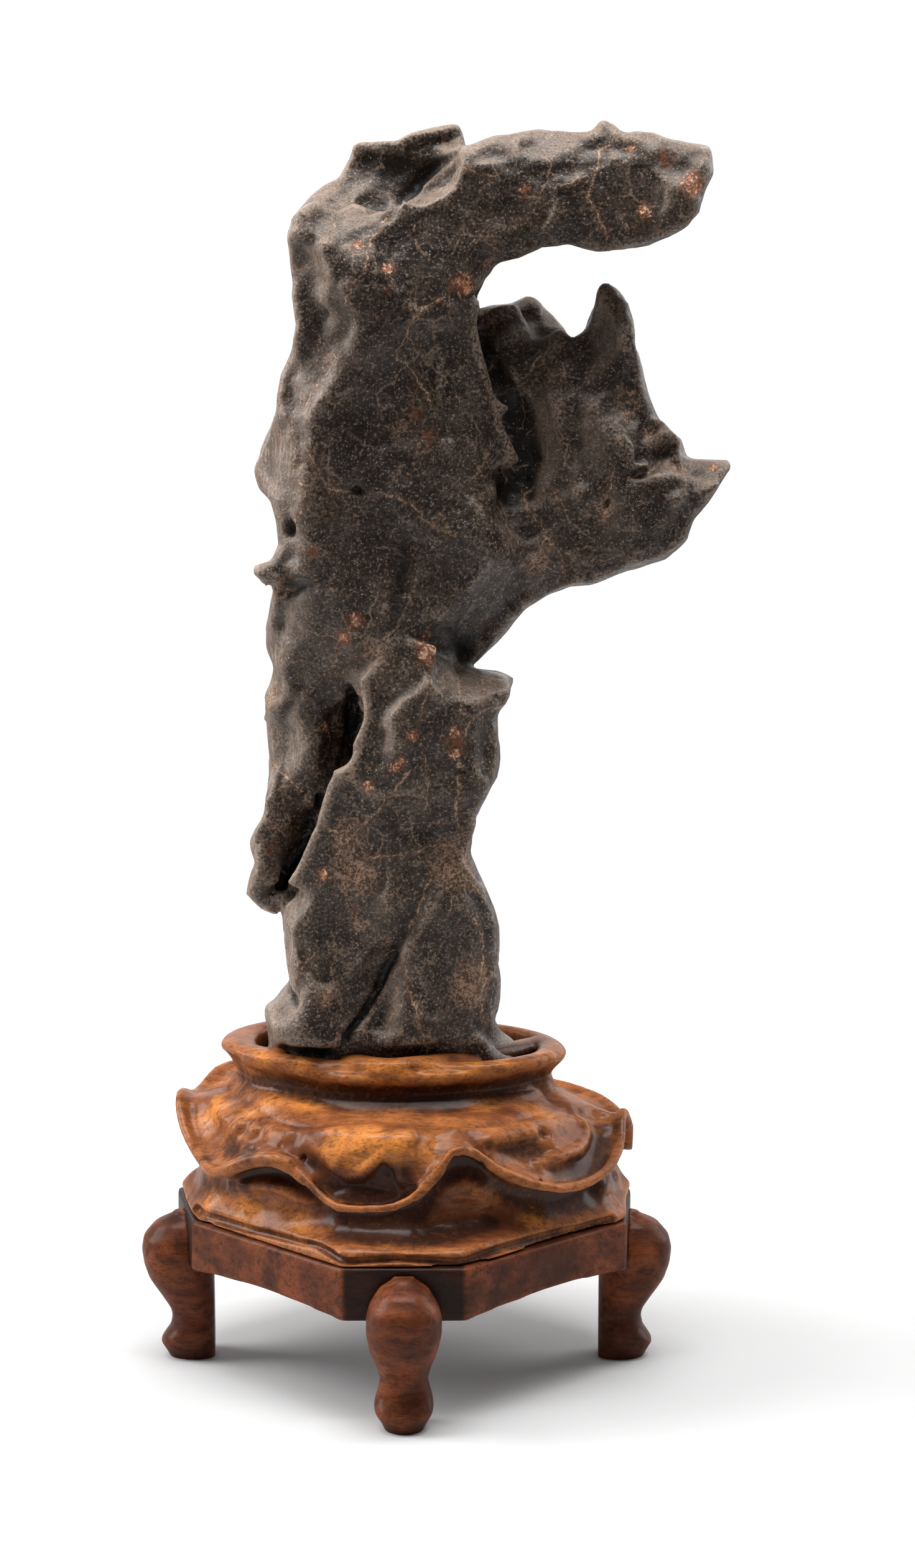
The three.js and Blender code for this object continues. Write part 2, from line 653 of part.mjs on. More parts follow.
// The profile of the top at one turn round the axis, from the middle of the base, up over the skirt
// and the rim, and down into the socket.
function topProfile(turn, share) {
  const edge = skirtCurve.getPoint(share);
  const edgeTurn = Math.atan2(edge.y, edge.x);
  const edgeReach = Math.hypot(edge.x, edge.y);
  const out = (reach, z) => [reach * Math.cos(edgeTurn), reach * Math.sin(edgeTurn), z];
  const base = apronReach(edgeTurn) - BASE_INSET;
  const waist = Math.min(base - 4, edgeReach - 5);
  const shoulder = onTurnedSquare(SHOULDER_REACH, edgeTurn, SHOULDER_POWER);
  const shoulderReach = Math.min(Math.hypot(...shoulder), edgeReach - 9);
  const shoulderHeight = SHOULDER_HEIGHT - shoulderDrop(edgeTurn);
  const coveHeight = SHOULDER_HEIGHT + COVE_RISE - 0.6 * shoulderDrop(edgeTurn);
  const between = (share) => [
    THREE.MathUtils.lerp(edgeReach, shoulderReach, share),
    THREE.MathUtils.lerp(edge.z, shoulderHeight, share - 0.05),
  ];
  const neck = onOval(RIM_CENTRE, RIM_HALF.map((half, axis) => half - NECK_INSET[axis]), turn);
  const lip = onOval(RIM_CENTRE, RIM_HALF, turn);
  const crest = onOval(RIM_CENTRE, [RIM_HALF[0] - 5, RIM_HALF[1] - 5], turn);
  const mouth = onOval(SOCKET_CENTRE, SOCKET_HALF, turn, SOCKET_POWER);
  return [
    out(base * 0.5, TOP_BASE),
    out(base, TOP_BASE),
    out(base, TOP_BASE + BASE_BAND),
    out(base - 2.4, TOP_BASE + 4.5),
    out(waist, WAIST_HEIGHT),
    out(Math.min(waist, edgeReach - 7), edge.z - SKIRT_THICKNESS - 1.2),
    out(edgeReach - 1.2, edge.z - SKIRT_THICKNESS * 0.6),
    out(edgeReach, edge.z),
    out(...between(0.45)),
    out(shoulderReach, Math.max(shoulderHeight, edge.z + 1.5)),
    [neck[0] * COVE_SPREAD[0], neck[1] * COVE_SPREAD[1], coveHeight],
    [...neck, NECK_HEIGHT],
    [...onOval(RIM_CENTRE, [RIM_HALF[0] - 2.4, RIM_HALF[1] - 2], turn), rimHeight(turn) - 4.6],
    [...lip, rimHeight(turn) - 2.4],
    [...onOval(RIM_CENTRE, [RIM_HALF[0] - 1.6, RIM_HALF[1] - 1.6], turn), rimHeight(turn) - 0.6],
    [...crest, rimHeight(turn) + 0.5],
    [...mouth, rimHeight(turn) - 0.6],
    [...mouth, SOCKET_FLOOR],
  ];
}

function standTopGeometry() {
  const profiles = [];
  for (let s = 0; s < TOP_SIDES; s++) {
    const share = s / TOP_SIDES;
    const edge = skirtCurve.getPoint(share);
    profiles.push(topProfile(Math.atan2(edge.y / 0.8, edge.x), share));
  }
  const rings = profiles[0].map((_, r) => profiles.map((profile) => profile[r]));
  return loftGeometry(rings);
}

// The apron board

const PANEL_STEPS = 6;
const UNDERSIDE_SHARE = 0.88; // how far out the flat of the underside reaches

function apronGeometry() {
  const bottom = [];
  const lower = [];
  const upper = [];
  APRON_OUTLINE.forEach((start, i) => {
    const end = APRON_OUTLINE[(i + 1) % APRON_OUTLINE.length];
    const steps = i % 2 === 0 ? PANEL_STEPS : 2;
    const arch = i % 2 === 0 ? APRON_ARCH : 0;
    for (let s = 0; s < steps; s++) {
      const share = s / steps;
      const x = THREE.MathUtils.lerp(start[0], end[0], share);
      const y = THREE.MathUtils.lerp(start[1], end[1], share);
      const rise = arch * Math.sin(Math.PI * share);
      bottom.push([x * UNDERSIDE_SHARE, y * UNDERSIDE_SHARE, APRON_BOTTOM + rise]);
      lower.push([x, y, APRON_BOTTOM + rise]);
      upper.push([x, y, APRON_TOP]);
    }
  });
  return loftGeometry([bottom, lower, upper]);
}

// The legs

// Levels of a leg that fits a corner of the apron: height, the distance of its front and of its
// back from the stand's axis, and half its width.
const legLevels = (corner) => [
  [0, 74.2, LEG_INNER + 1.6, 6.8],
  [1.2, 75.4, LEG_INNER, 7.8],
  [5.6, 79.2, LEG_INNER, 9.3],
  [7.4, 78.6, LEG_INNER, 9.1],
  [10, 76, LEG_INNER, 8],
  [13.5, 75, LEG_INNER, 7.3],
  [18, 76.6, LEG_INNER, 7.9],
  [24, 81, LEG_INNER, 9.8],
  [30, 84.2, LEG_INNER, 11.4],
  [APRON_BOTTOM - 0.9, 84.7, LEG_INNER, 11.8],
  [APRON_BOTTOM - 0.7, 84.8, corner + JOINT_GAP, 11.8],
  [KNEE_HEIGHT + 2, LEG_REACH, corner + JOINT_GAP, 11.8],
  [42, 83.4, corner + JOINT_GAP, 10.9],
  [46, 79.4, corner + JOINT_GAP, 8.4],
  [LEG_TOP, 74, corner + JOINT_GAP, 4.6],
];

const LEG_SIDES = 14;

// A leg's section is flat at the back and rounded at the front.
function legSection([height, front, back, halfWidth]) {
  const ring = [];
  const depth = front - back;
  for (let s = 0; s < LEG_SIDES; s++) {
    const turn = (2 * Math.PI * s) / LEG_SIDES;
    const squareness = Math.sin(turn) > 0 ? 0.35 : 0.8;
    const across = Math.sign(Math.cos(turn)) * Math.abs(Math.cos(turn)) ** 0.7;
    const deep = Math.sign(Math.sin(turn)) * Math.abs(Math.sin(turn)) ** squareness;
    ring.push([halfWidth * across, -(front + back) / 2 + (depth / 2) * deep, height]);
  }
  return ring;
}

const legGeometry = (corner) => loftGeometry(legLevels(corner).map(legSection));

// Finishes

const stoneFinish = new THREE.MeshStandardMaterial({ color: 0x47403b, roughness: 0.72, metalness: 0 });
const carvedFinish = new THREE.MeshStandardMaterial({ color: 0x9a5b30, roughness: 0.3, metalness: 0 });
const boardFinish = new THREE.MeshStandardMaterial({ color: 0x6e3e2a, roughness: 0.38, metalness: 0 });

// The whole object

const group = new THREE.Group();
group.position.x = STAND_AXIS_X;

function addPiece(name, geometry, finish, quarterTurns = 0) {
  const mesh = new THREE.Mesh(geometry, finish);
  mesh.name = name;
  mesh.rotation.z = (quarterTurns * Math.PI) / 2;
  group.add(mesh);
}

addPiece("stone", stoneGeometry(), stoneFinish);
addPiece("stand_top", standTopGeometry(), carvedFinish);
addPiece("stand_apron", apronGeometry(), boardFinish);
const LEGS = [
  ["leg_front", APRON_DEPTH],
  ["leg_right", APRON_RIGHT],
  ["leg_back", APRON_DEPTH],
  ["leg_left", APRON_LEFT],
];
LEGS.forEach(([name, corner], turns) => {
  addPiece(name, legGeometry(corner), boardFinish, turns);
});

export default group;
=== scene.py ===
# %% [markdown]
# # A scholar stone on its carved stand
#
# The object is a dark, water-worn stone, kept for its shape, that stands loose in the socket of a
# carved hardwood stand. The solids of both come from a imported model, which is only as fine as it
# needs to be to rest and collide. This lesson gives them the surface that the eye sees: worn planes,
# cracks and crystals on the stone, and carving, polish and patina on the wood, with painted light and
# painted shade on both.

import math
from types import SimpleNamespace

import bpy
import numpy as np
import openvdb
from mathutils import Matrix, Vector


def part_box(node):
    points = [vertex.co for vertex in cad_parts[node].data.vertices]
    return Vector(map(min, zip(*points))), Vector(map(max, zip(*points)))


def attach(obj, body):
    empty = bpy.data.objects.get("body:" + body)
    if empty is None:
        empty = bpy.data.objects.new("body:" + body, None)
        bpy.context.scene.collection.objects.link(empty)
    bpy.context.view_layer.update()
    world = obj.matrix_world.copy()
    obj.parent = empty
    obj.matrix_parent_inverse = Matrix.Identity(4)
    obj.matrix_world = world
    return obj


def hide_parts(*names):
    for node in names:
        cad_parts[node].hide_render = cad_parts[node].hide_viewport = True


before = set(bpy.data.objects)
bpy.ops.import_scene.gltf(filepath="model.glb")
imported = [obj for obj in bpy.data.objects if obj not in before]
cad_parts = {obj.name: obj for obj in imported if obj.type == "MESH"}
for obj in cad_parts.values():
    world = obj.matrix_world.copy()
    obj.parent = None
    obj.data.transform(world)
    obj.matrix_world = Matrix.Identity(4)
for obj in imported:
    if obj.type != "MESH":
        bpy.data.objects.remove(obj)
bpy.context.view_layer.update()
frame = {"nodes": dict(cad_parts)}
print("solids:", ", ".join(frame["nodes"]))

# %% [markdown]
# ## Units and the stand's axis
#
# Blender works in metres, but an object of this size is easier to think of in millimetres. So every
# shape below is made in millimetres from the stand's axis, the line that the stone and the four legs
# stand round, and turned into metres only when a mesh is made. The front leg shows where the axis is.

# %% Find the stand's axis
MM = 0.001

leg_low, leg_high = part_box("leg_front")
AXIS = np.array([(leg_low[0] + leg_high[0]) / 2 / MM, 0, 0])
print(f"the stand's axis is at x = {AXIS[0]:.1f} mm")

# %% [markdown]
# ## The camera
#
# The photograph was taken from far away with a long lens, a little above the object. The camera comes
# first because it is also a measuring tool: a mark that was read off the photograph, as a pixel, lies
# somewhere on one sight line, and the place where that line meets the surface is the mark's own.

# %% Set up the camera
PHOTO_WIDTH, PHOTO_HEIGHT = 1471, 2520
LENS, FILM = 100, 36
FOCAL = LENS / FILM * PHOTO_HEIGHT
PIXELS_PER_MM = FOCAL / 1336  # at the stand's axis
EYE = np.array([16.35, -1336.6, 455.0])
LOOK_DOWN = math.radians(11.35)
LEVEL, DIP = math.cos(LOOK_DOWN), math.sin(LOOK_DOWN)

camera_data = bpy.data.cameras.new("camera")
camera_data.sensor_fit = "VERTICAL"
camera_data.sensor_height = FILM
camera_data.lens = LENS
camera_data.clip_end = 100
camera = bpy.data.objects.new("camera", camera_data)
camera.location = (EYE + AXIS) * MM
camera.rotation_euler = (math.pi / 2 - LOOK_DOWN, 0, 0)
bpy.context.scene.collection.objects.link(camera)
bpy.context.scene.camera = camera


# %% Go from pixels to sight lines, and from points to pixels
def sight_lines(pixels):
    across = (pixels[:, 0] - PHOTO_WIDTH / 2) / FOCAL
    up = (PHOTO_HEIGHT / 2 - pixels[:, 1]) / FOCAL
    return np.stack([across, LEVEL + up * DIP, up * LEVEL - DIP], 1)


def pixel_of(x, y, z):
    """The pixel of the photograph that shows a point."""
    ahead = (y - EYE[1]) * LEVEL - (z - EYE[2]) * DIP
    up = (y - EYE[1]) * DIP + (z - EYE[2]) * LEVEL
    return PHOTO_WIDTH / 2 + FOCAL * (x - EYE[0]) / ahead, PHOTO_HEIGHT / 2 - FOCAL * up / ahead


# %% [markdown]
# ## Clay
#
# Stone and carved wood have no flat faces or straight edges to model with. A block of digital clay
# suits them: a grid of numbers, each the distance to the surface, negative inside. Pressing a hollow
# or adding a ridge is then one small sum over the grid, and two shapes that meet always join
# cleanly, which they don't when the vertices of a mesh are pushed about. The clay is baked into a
# mesh once, at the end.


# %% Start a block of clay from a solid
def clay_from(node, cell, reach, soften=0.0):
    """The clay of a solid, up to reach from its surface. Softening takes its triangles away."""
    mesh = frame["nodes"][node].data
    mesh.calc_loop_triangles()
    points = np.empty(len(mesh.vertices) * 3, np.float32)
    mesh.vertices.foreach_get("co", points)
    triangles = np.empty(len(mesh.loop_triangles) * 3, np.int32)
    mesh.loop_triangles.foreach_get("vertices", triangles)
    grid = openvdb.FloatGrid.createLevelSetFromPolygons(
        points.reshape(-1, 3) / MM - AXIS,
        triangles=triangles.reshape(-1, 3),
        transform=openvdb.createLinearTransform(voxelSize=cell),
        halfWidth=reach / cell,
    )
    first, last = grid.evalActiveVoxelBoundingBox()
    first = np.array(first) - 1
    values = np.full(np.array(last) - first + 2, reach, np.float32)
    grid.copyToArray(values, ijk=tuple(int(n) for n in first))
    print(f"{node}: clay of {' x '.join(map(str, values.shape))} cells")
    return SimpleNamespace(values=blurred(values, soften / cell), first=first, cell=cell)


def blurred(values, cells):
    """A bell-shaped blur, as wide as the given number of cells. It ends at 2.5 times its width."""
    if not cells:
        return values
    half = math.ceil(cells * 2.5)
    weights = np.exp(-((np.arange(-half, half + 1) / cells) ** 2) / 2)
    weights /= weights.sum()
    for axis in range(3):
        padded = np.pad(values, [(half, half) if n == axis else (0, 0) for n in range(3)], "edge")
        total = np.zeros_like(values)
        for n, weight in enumerate(weights):
            cut = [slice(None)] * 3
            cut[axis] = slice(n, n + values.shape[axis])
            total += np.float32(weight) * padded[tuple(cut)]
        values = total
    return values


# %% [markdown]
# ## Tools
#
# The first tool is a chain of balls joined by cones, which makes a groove when it is pressed in and
# a ridge when it is added. Only the cells near the chain are worked out, since a whole block has
# millions of them. A soft minimum joins the tool's surface to the clay's with a small fillet.


# %% Work on one part of the clay
def window(clay, low=-999, high=999):
    """The part of the clay between two corners, with the coordinates of its cells."""
    size = clay.values.shape
    a = np.floor(np.array(low) / clay.cell).astype(int) - clay.first
    b = np.ceil(np.array(high) / clay.cell).astype(int) - clay.first + 1
    a = np.clip(a, 0, size)
    b = np.clip(b, a, size)
    cells = tuple(slice(int(a[n]), int(b[n])) for n in range(3))
    places = [(np.arange(a[n], b[n]) + clay.first[n]) * clay.cell for n in range(3)]
    x, y, z = np.meshgrid(*places, indexing="ij", sparse=True)
    return cells, x.astype(np.float32), y.astype(np.float32), z.astype(np.float32)


def near_surface(clay, reach):
    """The cells that are nearer the surface than reach, with their coordinates."""
    band = np.nonzero(np.abs(clay.values) < reach)
    return band, *((band[n] + clay.first[n]) * clay.cell for n in range(3))


def distance_from(place, x, y, z):
    return np.sqrt((x - place[0]) ** 2 + (y - place[1]) ** 2 + (z - place[2]) ** 2)


FAR = 1e3


def chain_distance(clay, chain, margin):
    """The distance to balls [x, y, z, radius] joined by cones, and the cells that it is for."""
    balls = np.array(chain, float)
    reach = balls[:, 3:] + margin
    low, high = balls[:, :3] - reach, balls[:, :3] + reach
    cells, *_ = window(clay, low.min(0), high.max(0))
    distance = np.full([cut.stop - cut.start for cut in cells], FAR, np.float32)
    for n in range(max(len(balls) - 1, 1)):
        m = min(n + 1, len(balls) - 1)
        near, x, y, z = window(clay, np.minimum(low[n], low[m]), np.maximum(high[n], high[m]))
        start, span = balls[n], balls[m] - balls[n]
        along = (x - start[0]) * span[0] + (y - start[1]) * span[1] + (z - start[2]) * span[2]
        along = np.clip(along / max(span[:3] @ span[:3], 1e-6), 0, 1).astype(np.float32)
        away = (x - start[0] - along * span[0]) ** 2 + (y - start[1] - along * span[1]) ** 2
        away = np.sqrt(away + (z - start[2] - along * span[2]) ** 2)
        here = tuple(slice(a.start - b.start, a.stop - b.start) for a, b in zip(near, cells))
        distance[here] = np.minimum(distance[here], away - start[3] - along * span[3])
    return cells, distance


# %% Press and add
PRESSED, ADDED = -1, 1
PRESS_ROOM, ADD_ROOM = 3, 4  # how far past its fillet a tool is worked out


def soft_min(a, b, blend):
    overlap = np.maximum(blend - np.abs(a - b), 0) / blend
    return np.minimum(a, b) - overlap * overlap * blend / 4


def work(clay, way, cells, shape, blend, most=math.inf):
    """Presses or adds a shape, which moves no surface further than most."""
    before = way * clay.values[cells]
    clay.values[cells] = way * np.maximum(soft_min(before, shape, blend), before - most)


def press(clay, chain, blend=1.5, most=math.inf):
    if len(chain):
        work(clay, PRESSED, *chain_distance(clay, chain, blend + PRESS_ROOM), blend, most)


def add(clay, chain, blend=3.0, most=math.inf):
    if len(chain):
        work(clay, ADDED, *chain_distance(clay, chain, blend + ADD_ROOM), blend, most)


# %% Read the clay between its cells
def sampled(values, clay, points):
    size = np.array(values.shape)
    place = np.clip(points / clay.cell - clay.first, 0, size - 1.001)
    whole = place.astype(np.int32)
    share = (place - whole).astype(np.float32)
    total = np.zeros(len(points), np.float32)
    for corner in range(8):
        step = np.array([corner & 1, (corner >> 1) & 1, corner >> 2])
        weight = np.prod(np.where(step, share, 1 - share), axis=1)
        cell = whole + step
        total += weight * values[cell[:, 0], cell[:, 1], cell[:, 2]]
    return total


def outward_at(clay, points, step=1.5):
    """The direction out of the clay at some points."""
    slopes = []
    for offset in np.eye(3) * step:
        ahead = sampled(clay.values, clay, points + offset)
        slopes.append(ahead - sampled(clay.values, clay, points - offset))
    slopes = np.stack(slopes, 1)
    return slopes / np.maximum(np.linalg.norm(slopes, axis=1, keepdims=True), 1e-6)


# %% [markdown]
# ## Marks
#
# The details are read off the photograph, mark by mark, as a carver would copy them. A mark is a
# pixel [u, v], with numbers after it such as the tool's radius and how deep or high it works there.
# A mark that leaves its last numbers out keeps those of the mark before. A row of marks makes one
# smooth stroke, which is followed over the clay's own surface.


# %% Find where marks lie on the clay
NEAREST, FURTHEST, STRIDE = -80, 50, 0.5  # how far from the stand's axis a sight line is searched
OFF_CLAY = 0.5  # a place further from the surface than this is a miss
LEAST_FACING = 0.3


def path_between(marks, step=8):
    """A smooth path through marks, with a point every step, in pixels or in millimetres if the
    marks are. The other numbers follow."""
    full = []
    for mark in marks:
        full.append([*mark, *full[-1][len(mark):]] if full else [*mark])
    marks = np.array(full, float)
    if len(marks) < 2:
        return marks
    ends = np.vstack([2 * marks[0] - marks[1], marks, 2 * marks[-1] - marks[-2]])
    path = []
    for a, b, c, d in zip(ends, ends[1:], ends[2:], ends[3:]):
        count = max(int(np.linalg.norm((c - b)[:2]) / step), 1)
        for t in np.arange(count) / count:
            curve = 2 * b + (c - a) * t + (2 * a - 5 * b + 4 * c - d) * t**2
            path.append(0.5 * (curve + (3 * b - a - 3 * c + d) * t**3))
    return np.array(path + [marks[-1]])


def seen_at(clay, pixels):
    """The points of the clay that these pixels of the photograph show."""
    lines = sight_lines(np.asarray(pixels, float))
    depth = np.arange(NEAREST, FURTHEST, STRIDE)
    reach = (depth[None, :] - EYE[1]) / lines[:, 1:2]
    path = EYE + reach[..., None] * lines[:, None, :]
    field = sampled(clay.values, clay, path.reshape(-1, 3)).reshape(reach.shape)
    inside = field < 0
    first = np.where(inside.any(1), inside.argmax(1), field.argmin(1))
    rows = np.arange(len(lines))
    before = np.maximum(first - 1, 0)
    outer, inner = field[rows, before], field[rows, first]
    share = np.clip(outer / np.where(outer == inner, 1, outer - inner), 0, 1)[:, None]
    return path[rows, before] * (1 - share) + path[rows, first] * share


def stroke_on(clay, marks):
    """The points of a stroke, without those that miss the clay or that it turns away from."""
    marks = path_between(marks)
    places = seen_at(clay, marks[:, :2])
    outward = outward_at(clay, places)
    facing = -np.sum(sight_lines(marks[:, :2]) * outward, 1)
    kept = (np.abs(sampled(clay.values, clay, places)) < OFF_CLAY) & (facing > LEAST_FACING)
    return places[kept], outward[kept], marks[kept, 2:3], marks[kept, 3:4]


# %% Carve and build up along marks [u, v, radius, depth or height]
LEVEL_RADII = 1.2
CARVE_SLACK, BUILD_SLACK = 1.2, 1.4  # a fillet may move the surface a little more than its tool does


def carve(clay, marks, blend=1.0):
    """Presses a groove, a deep one in levels, since the clay would close over a ball that starts
    more than about a radius down."""
    places, outward, radii, deep = stroke_on(clay, marks)
    levels = math.ceil(np.max(deep / radii, initial=1) / LEVEL_RADII)
    for level in range(1, levels + 1):
        depths = deep * level / levels
        middles = places + outward * (radii - depths)
        press(clay, np.hstack([middles, radii]), blend, depths.max(initial=0) * CARVE_SLACK)


def build_up(clay, marks, blend=3.0):
    """Adds a ridge."""
    places, outward, radii, high = stroke_on(clay, marks)
    middles = places - outward * (radii - high)
    add(clay, np.hstack([middles, radii]), blend, high.max(initial=0) * BUILD_SLACK)


# %% [markdown]
# ## Outlines
#
# An outline in the photograph says even more than a mark does: no part of the piece is seen outside
# it. Cutting the clay along the sight lines through an outline trims it to the true silhouette. A
# part that has an edge of its own, in front of something else, is made the other way round: a plate
# is added inside its outline, as a continuation of the face that it belongs to.


# %% Work with outlines
def outline_distance(outline, u, v):
    """How far pixels lie outside a closed outline, in millimetres, and negative inside."""
    nearest = np.full(np.broadcast(u, v).shape, math.inf, np.float32)
    inside = np.zeros(nearest.shape, bool)
    for (u0, v0), (u1, v1) in zip(outline, outline[1:] + outline[:1]):
        du, dv = u1 - u0, v1 - v0
        along = np.clip(((u - u0) * du + (v - v0) * dv) / (du * du + dv * dv), 0, 1)
        nearest = np.minimum(nearest, (u - u0 - along * du) ** 2 + (v - v0 - along * dv) ** 2)
        if dv:
            inside ^= ((v0 > v) != (v1 > v)) & (u < u0 + (v - v0) * du / dv)
    return np.where(inside, -1, 1) * np.sqrt(nearest) / PIXELS_PER_MM


def trim_to(clay, outline, grow=2.2, fade=5.0, blend=3.0, reach=6):
    """Trims the clay to an outline. Near the outline it swells a little first, by grow at most, to
    fill what falls short."""
    band, x, y, z = near_surface(clay, reach)
    outside = outline_distance(outline, *pixel_of(x, y, z))
    swell = grow * np.clip(1 + outside / fade, 0, 1)
    clay.values[band] = -soft_min(-outside, swell - clay.values[band], blend)


def add_plate(clay, outline, face, thick, sunk=0.9, worn=1.2, blend=2.0, room=(4, 12, 4)):
    """Adds a plate inside an outline. Its front continues the plane through the marks on a face,
    sunk a little, so that it shows only where the face falls away before the outline's edge."""
    places = seen_at(clay, np.array(face, float))
    flat = np.hstack([places[:, [0, 2]], np.ones((len(face), 1))])
    plane = np.linalg.lstsq(flat, places[:, 1], None)[0]
    lines = sight_lines(np.array(outline, float))
    corners = EYE + (places[:, 1].mean() - EYE[1]) / lines[:, 1:2] * lines
    low, high = corners.min(0), corners.max(0)
    low[1], high[1] = places[:, 1].min(), places[:, 1].max() + thick
    cells, x, y, z = window(clay, low - room, high + room)
    behind = y - (plane[0] * x + plane[1] * z + plane[2]) - sunk
    outside = outline_distance(outline, *pixel_of(x, y, z))
    # The edge is worn thin: near it, the front face curves back.
    rounded = np.maximum(outside + worn, 0) ** 2 / (2 * worn)
    plate = np.maximum(np.maximum(rounded - behind, behind - thick), outside)
    work(clay, ADDED, cells, plate.astype(np.float32), blend)


# %% [markdown]
# ## Wear
#
# Water wears a stone at every scale at once. Smooth noise gives that: random numbers on a coarse
# grid, read back in between with a smooth curve. The seed keeps it the same in every run. The
# opposite tool, which sharpens, brings back the crests that a blur has worn down too far.


# %% Sharpen and roughen
NOISE_SIZE = 64
NOISE_SHIFT = 1000  # keeps all places on one side of nought


def sharpen(clay, width, share):
    """Makes ridges stand out more and hollows lie deeper, by a share of how far they do already."""
    clay.values += share * (clay.values - blurred(clay.values, width / clay.cell))


def smooth_noise(table, places, wavelength):
    parts = []
    for values in places:
        scaled = np.asarray(values, np.float32) / np.float32(wavelength) + NOISE_SHIFT
        whole = np.floor(scaled)
        share = scaled - whole
        whole = whole.astype(np.int32) % NOISE_SIZE
        parts.append((whole, (whole + 1) % NOISE_SIZE, share * share * (3 - 2 * share)))
    (x0, x1, fx), (y0, y1, fy), (z0, z1, fz) = parts

    def layer(z_cell):
        near = table[x0, y0, z_cell] * (1 - fx) + table[x1, y0, z_cell] * fx
        far = table[x0, y1, z_cell] * (1 - fx) + table[x1, y1, z_cell] * fx
        return near * (1 - fy) + far * fy

    return layer(z0) * (1 - fz) + layer(z1) * fz


def roughen(clay, seed, layers, reach=4):
    """Adds layers of smooth noise, each [wavelength, height], to the surface of the clay."""
    table = np.random.default_rng(seed).uniform(-1, 1, [NOISE_SIZE] * 3).astype(np.float32)
    band, *places = near_surface(clay, reach)
    for wavelength, height in layers:
        clay.values[band] += height * smooth_noise(table, places, wavelength)


# %% [markdown]
# ## From clay to mesh
#
# The surface runs where the numbers change sign, so the mesh is read straight off the grid. Each
# vertex also gets numbers that a material can use, such as how far it stands out on a ridge or lies
# back in a hollow. They are measured on the clay, by blurring it: on a ridge the blurred surface
# lies deeper than the real one, and in a hollow it lies higher.


# %% Read the mesh off the clay
def surface_of(clay, flatten=0.0):
    grid = openvdb.FloatGrid()
    grid.copyFromArray(clay.values)
    points, triangles, quads = grid.convertToPolygons(isovalue=0.0, adaptivity=flatten)
    return (points + clay.first) * clay.cell, triangles, quads


def bake(clay, name, node, flatten=0.0):
    """Makes the clay's piece, which stands for a solid and stays inside the solid's box."""
    points, triangles, quads = surface_of(clay, flatten)
    low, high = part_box(node)
    clay.points = np.clip(points, np.array(low) / MM - AXIS, np.array(high) / MM - AXIS)
    mesh = bpy.data.meshes.new(name)
    faces = triangles[:, ::-1].tolist() + quads[:, ::-1].tolist()
    mesh.from_pydata(((clay.points + AXIS) * MM).tolist(), [], faces)
    mesh.shade_smooth()
    clay.piece = bpy.data.objects.new(name, mesh)
    bpy.context.scene.collection.objects.link(clay.piece)
    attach(clay.piece, "root")
    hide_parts(node)
    print(f"{name}: {len(points)} vertices, {len(triangles) + 2 * len(quads)} triangles")


# %% Note numbers on the vertices, for the material to read
def note(clay, name, values, kind="FLOAT", part="value"):
    layer = clay.piece.data.attributes.new(name, kind, "POINT")
    layer.data.foreach_set(part, np.ascontiguousarray(values, np.float32).ravel())


def note_relief(clay, **widths):
    """Notes how far each vertex lies back in a hollow, or stands out if negative, in millimetres."""
    for name, width in widths.items():
        note(clay, name, -sampled(blurred(clay.values, width / clay.cell), clay, clay.points))


# %% [markdown]
# # The stone
#
# ## Its large forms
#
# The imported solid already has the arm, the crag, the spire and the column in the right places, but
# in coarse triangles. It becomes clay, and a light blur takes the triangles away. Where the solid is
# hollower than the photograph shows, a few fat chains fill it first.

# %% Turn the solid stone into clay, and fill it with chains of [x, y, z, radius]
STONE_FILLS = {
    "wall behind the torn sheet": [(31, 4, 328, 9), (35, 1, 313, 9), (38, 0, 300, 9), (39, 0, 288, 8)],
    "hole in the crag": [(67, -11, 293, 4.5), (75, -11.5, 294, 5), (80, -10, 298, 4)],
    "right of the dark wall": [(46, -2, 322, 7), (48, -2, 308, 9), (48, -2, 296, 9), (47, -3, 284, 8)],
    "left of the pit": [(-29, -6, 214, 8), (-28, -6, 203, 8.5), (-29, -5, 194, 8), (-32, -4, 186, 7)],
    "in the pit": [(-21, -3, 214, 6), (-21, -3, 205, 6), (-22, -4, 196, 6), (-25, -4, 188, 5)],
    "left facet": [(-26, -18, 357, 8), (-26.5, -19, 342, 8.5), (-27, -19, 328, 8)],
    "lower left strip": [(-37, -3, 184, 6), (-41, -3, 170, 6.5), (-43, -3, 158, 6), (-45, 0, 151, 4)],
}
stone = clay_from("stone", cell=1.2, reach=10.0, soften=1.2)
for fill in STONE_FILLS.values():
    add(stone, fill, blend=5)

# %% [markdown]
# ## Flaked planes
#
# Between its ridges the stone has small planes, slightly dished, which meet in soft edges, on the
# hidden sides as well. They come from scoops: balls that only graze the surface. Each one is set
# where the clay's own surface is, at places drawn at random but kept apart. The deepest kind stays
# on the sides that face backward, where no marks will shape them.


# %% Scoop the planes
def scoop(clay, place, outward, radius, depth):
    """Takes a shallow scoop, as a flake comes off: a large ball, only depth deep at its middle."""
    # A little more than the circle in which the ball meets a flat face.
    spread = math.sqrt(2 * radius * depth) * 1.15 + 1
    room = spread * 1.4
    cells, *near = window(clay, place - room, place + room)
    cut = distance_from(place + outward * (radius - depth), *near) - radius
    # Past its spread the scoop climbs fast, so that it ends in an edge.
    cut = cut + 2 * np.maximum(distance_from(place, *near) - spread, 0)
    work(clay, PRESSED, cells, cut, blend=0.5, most=depth)


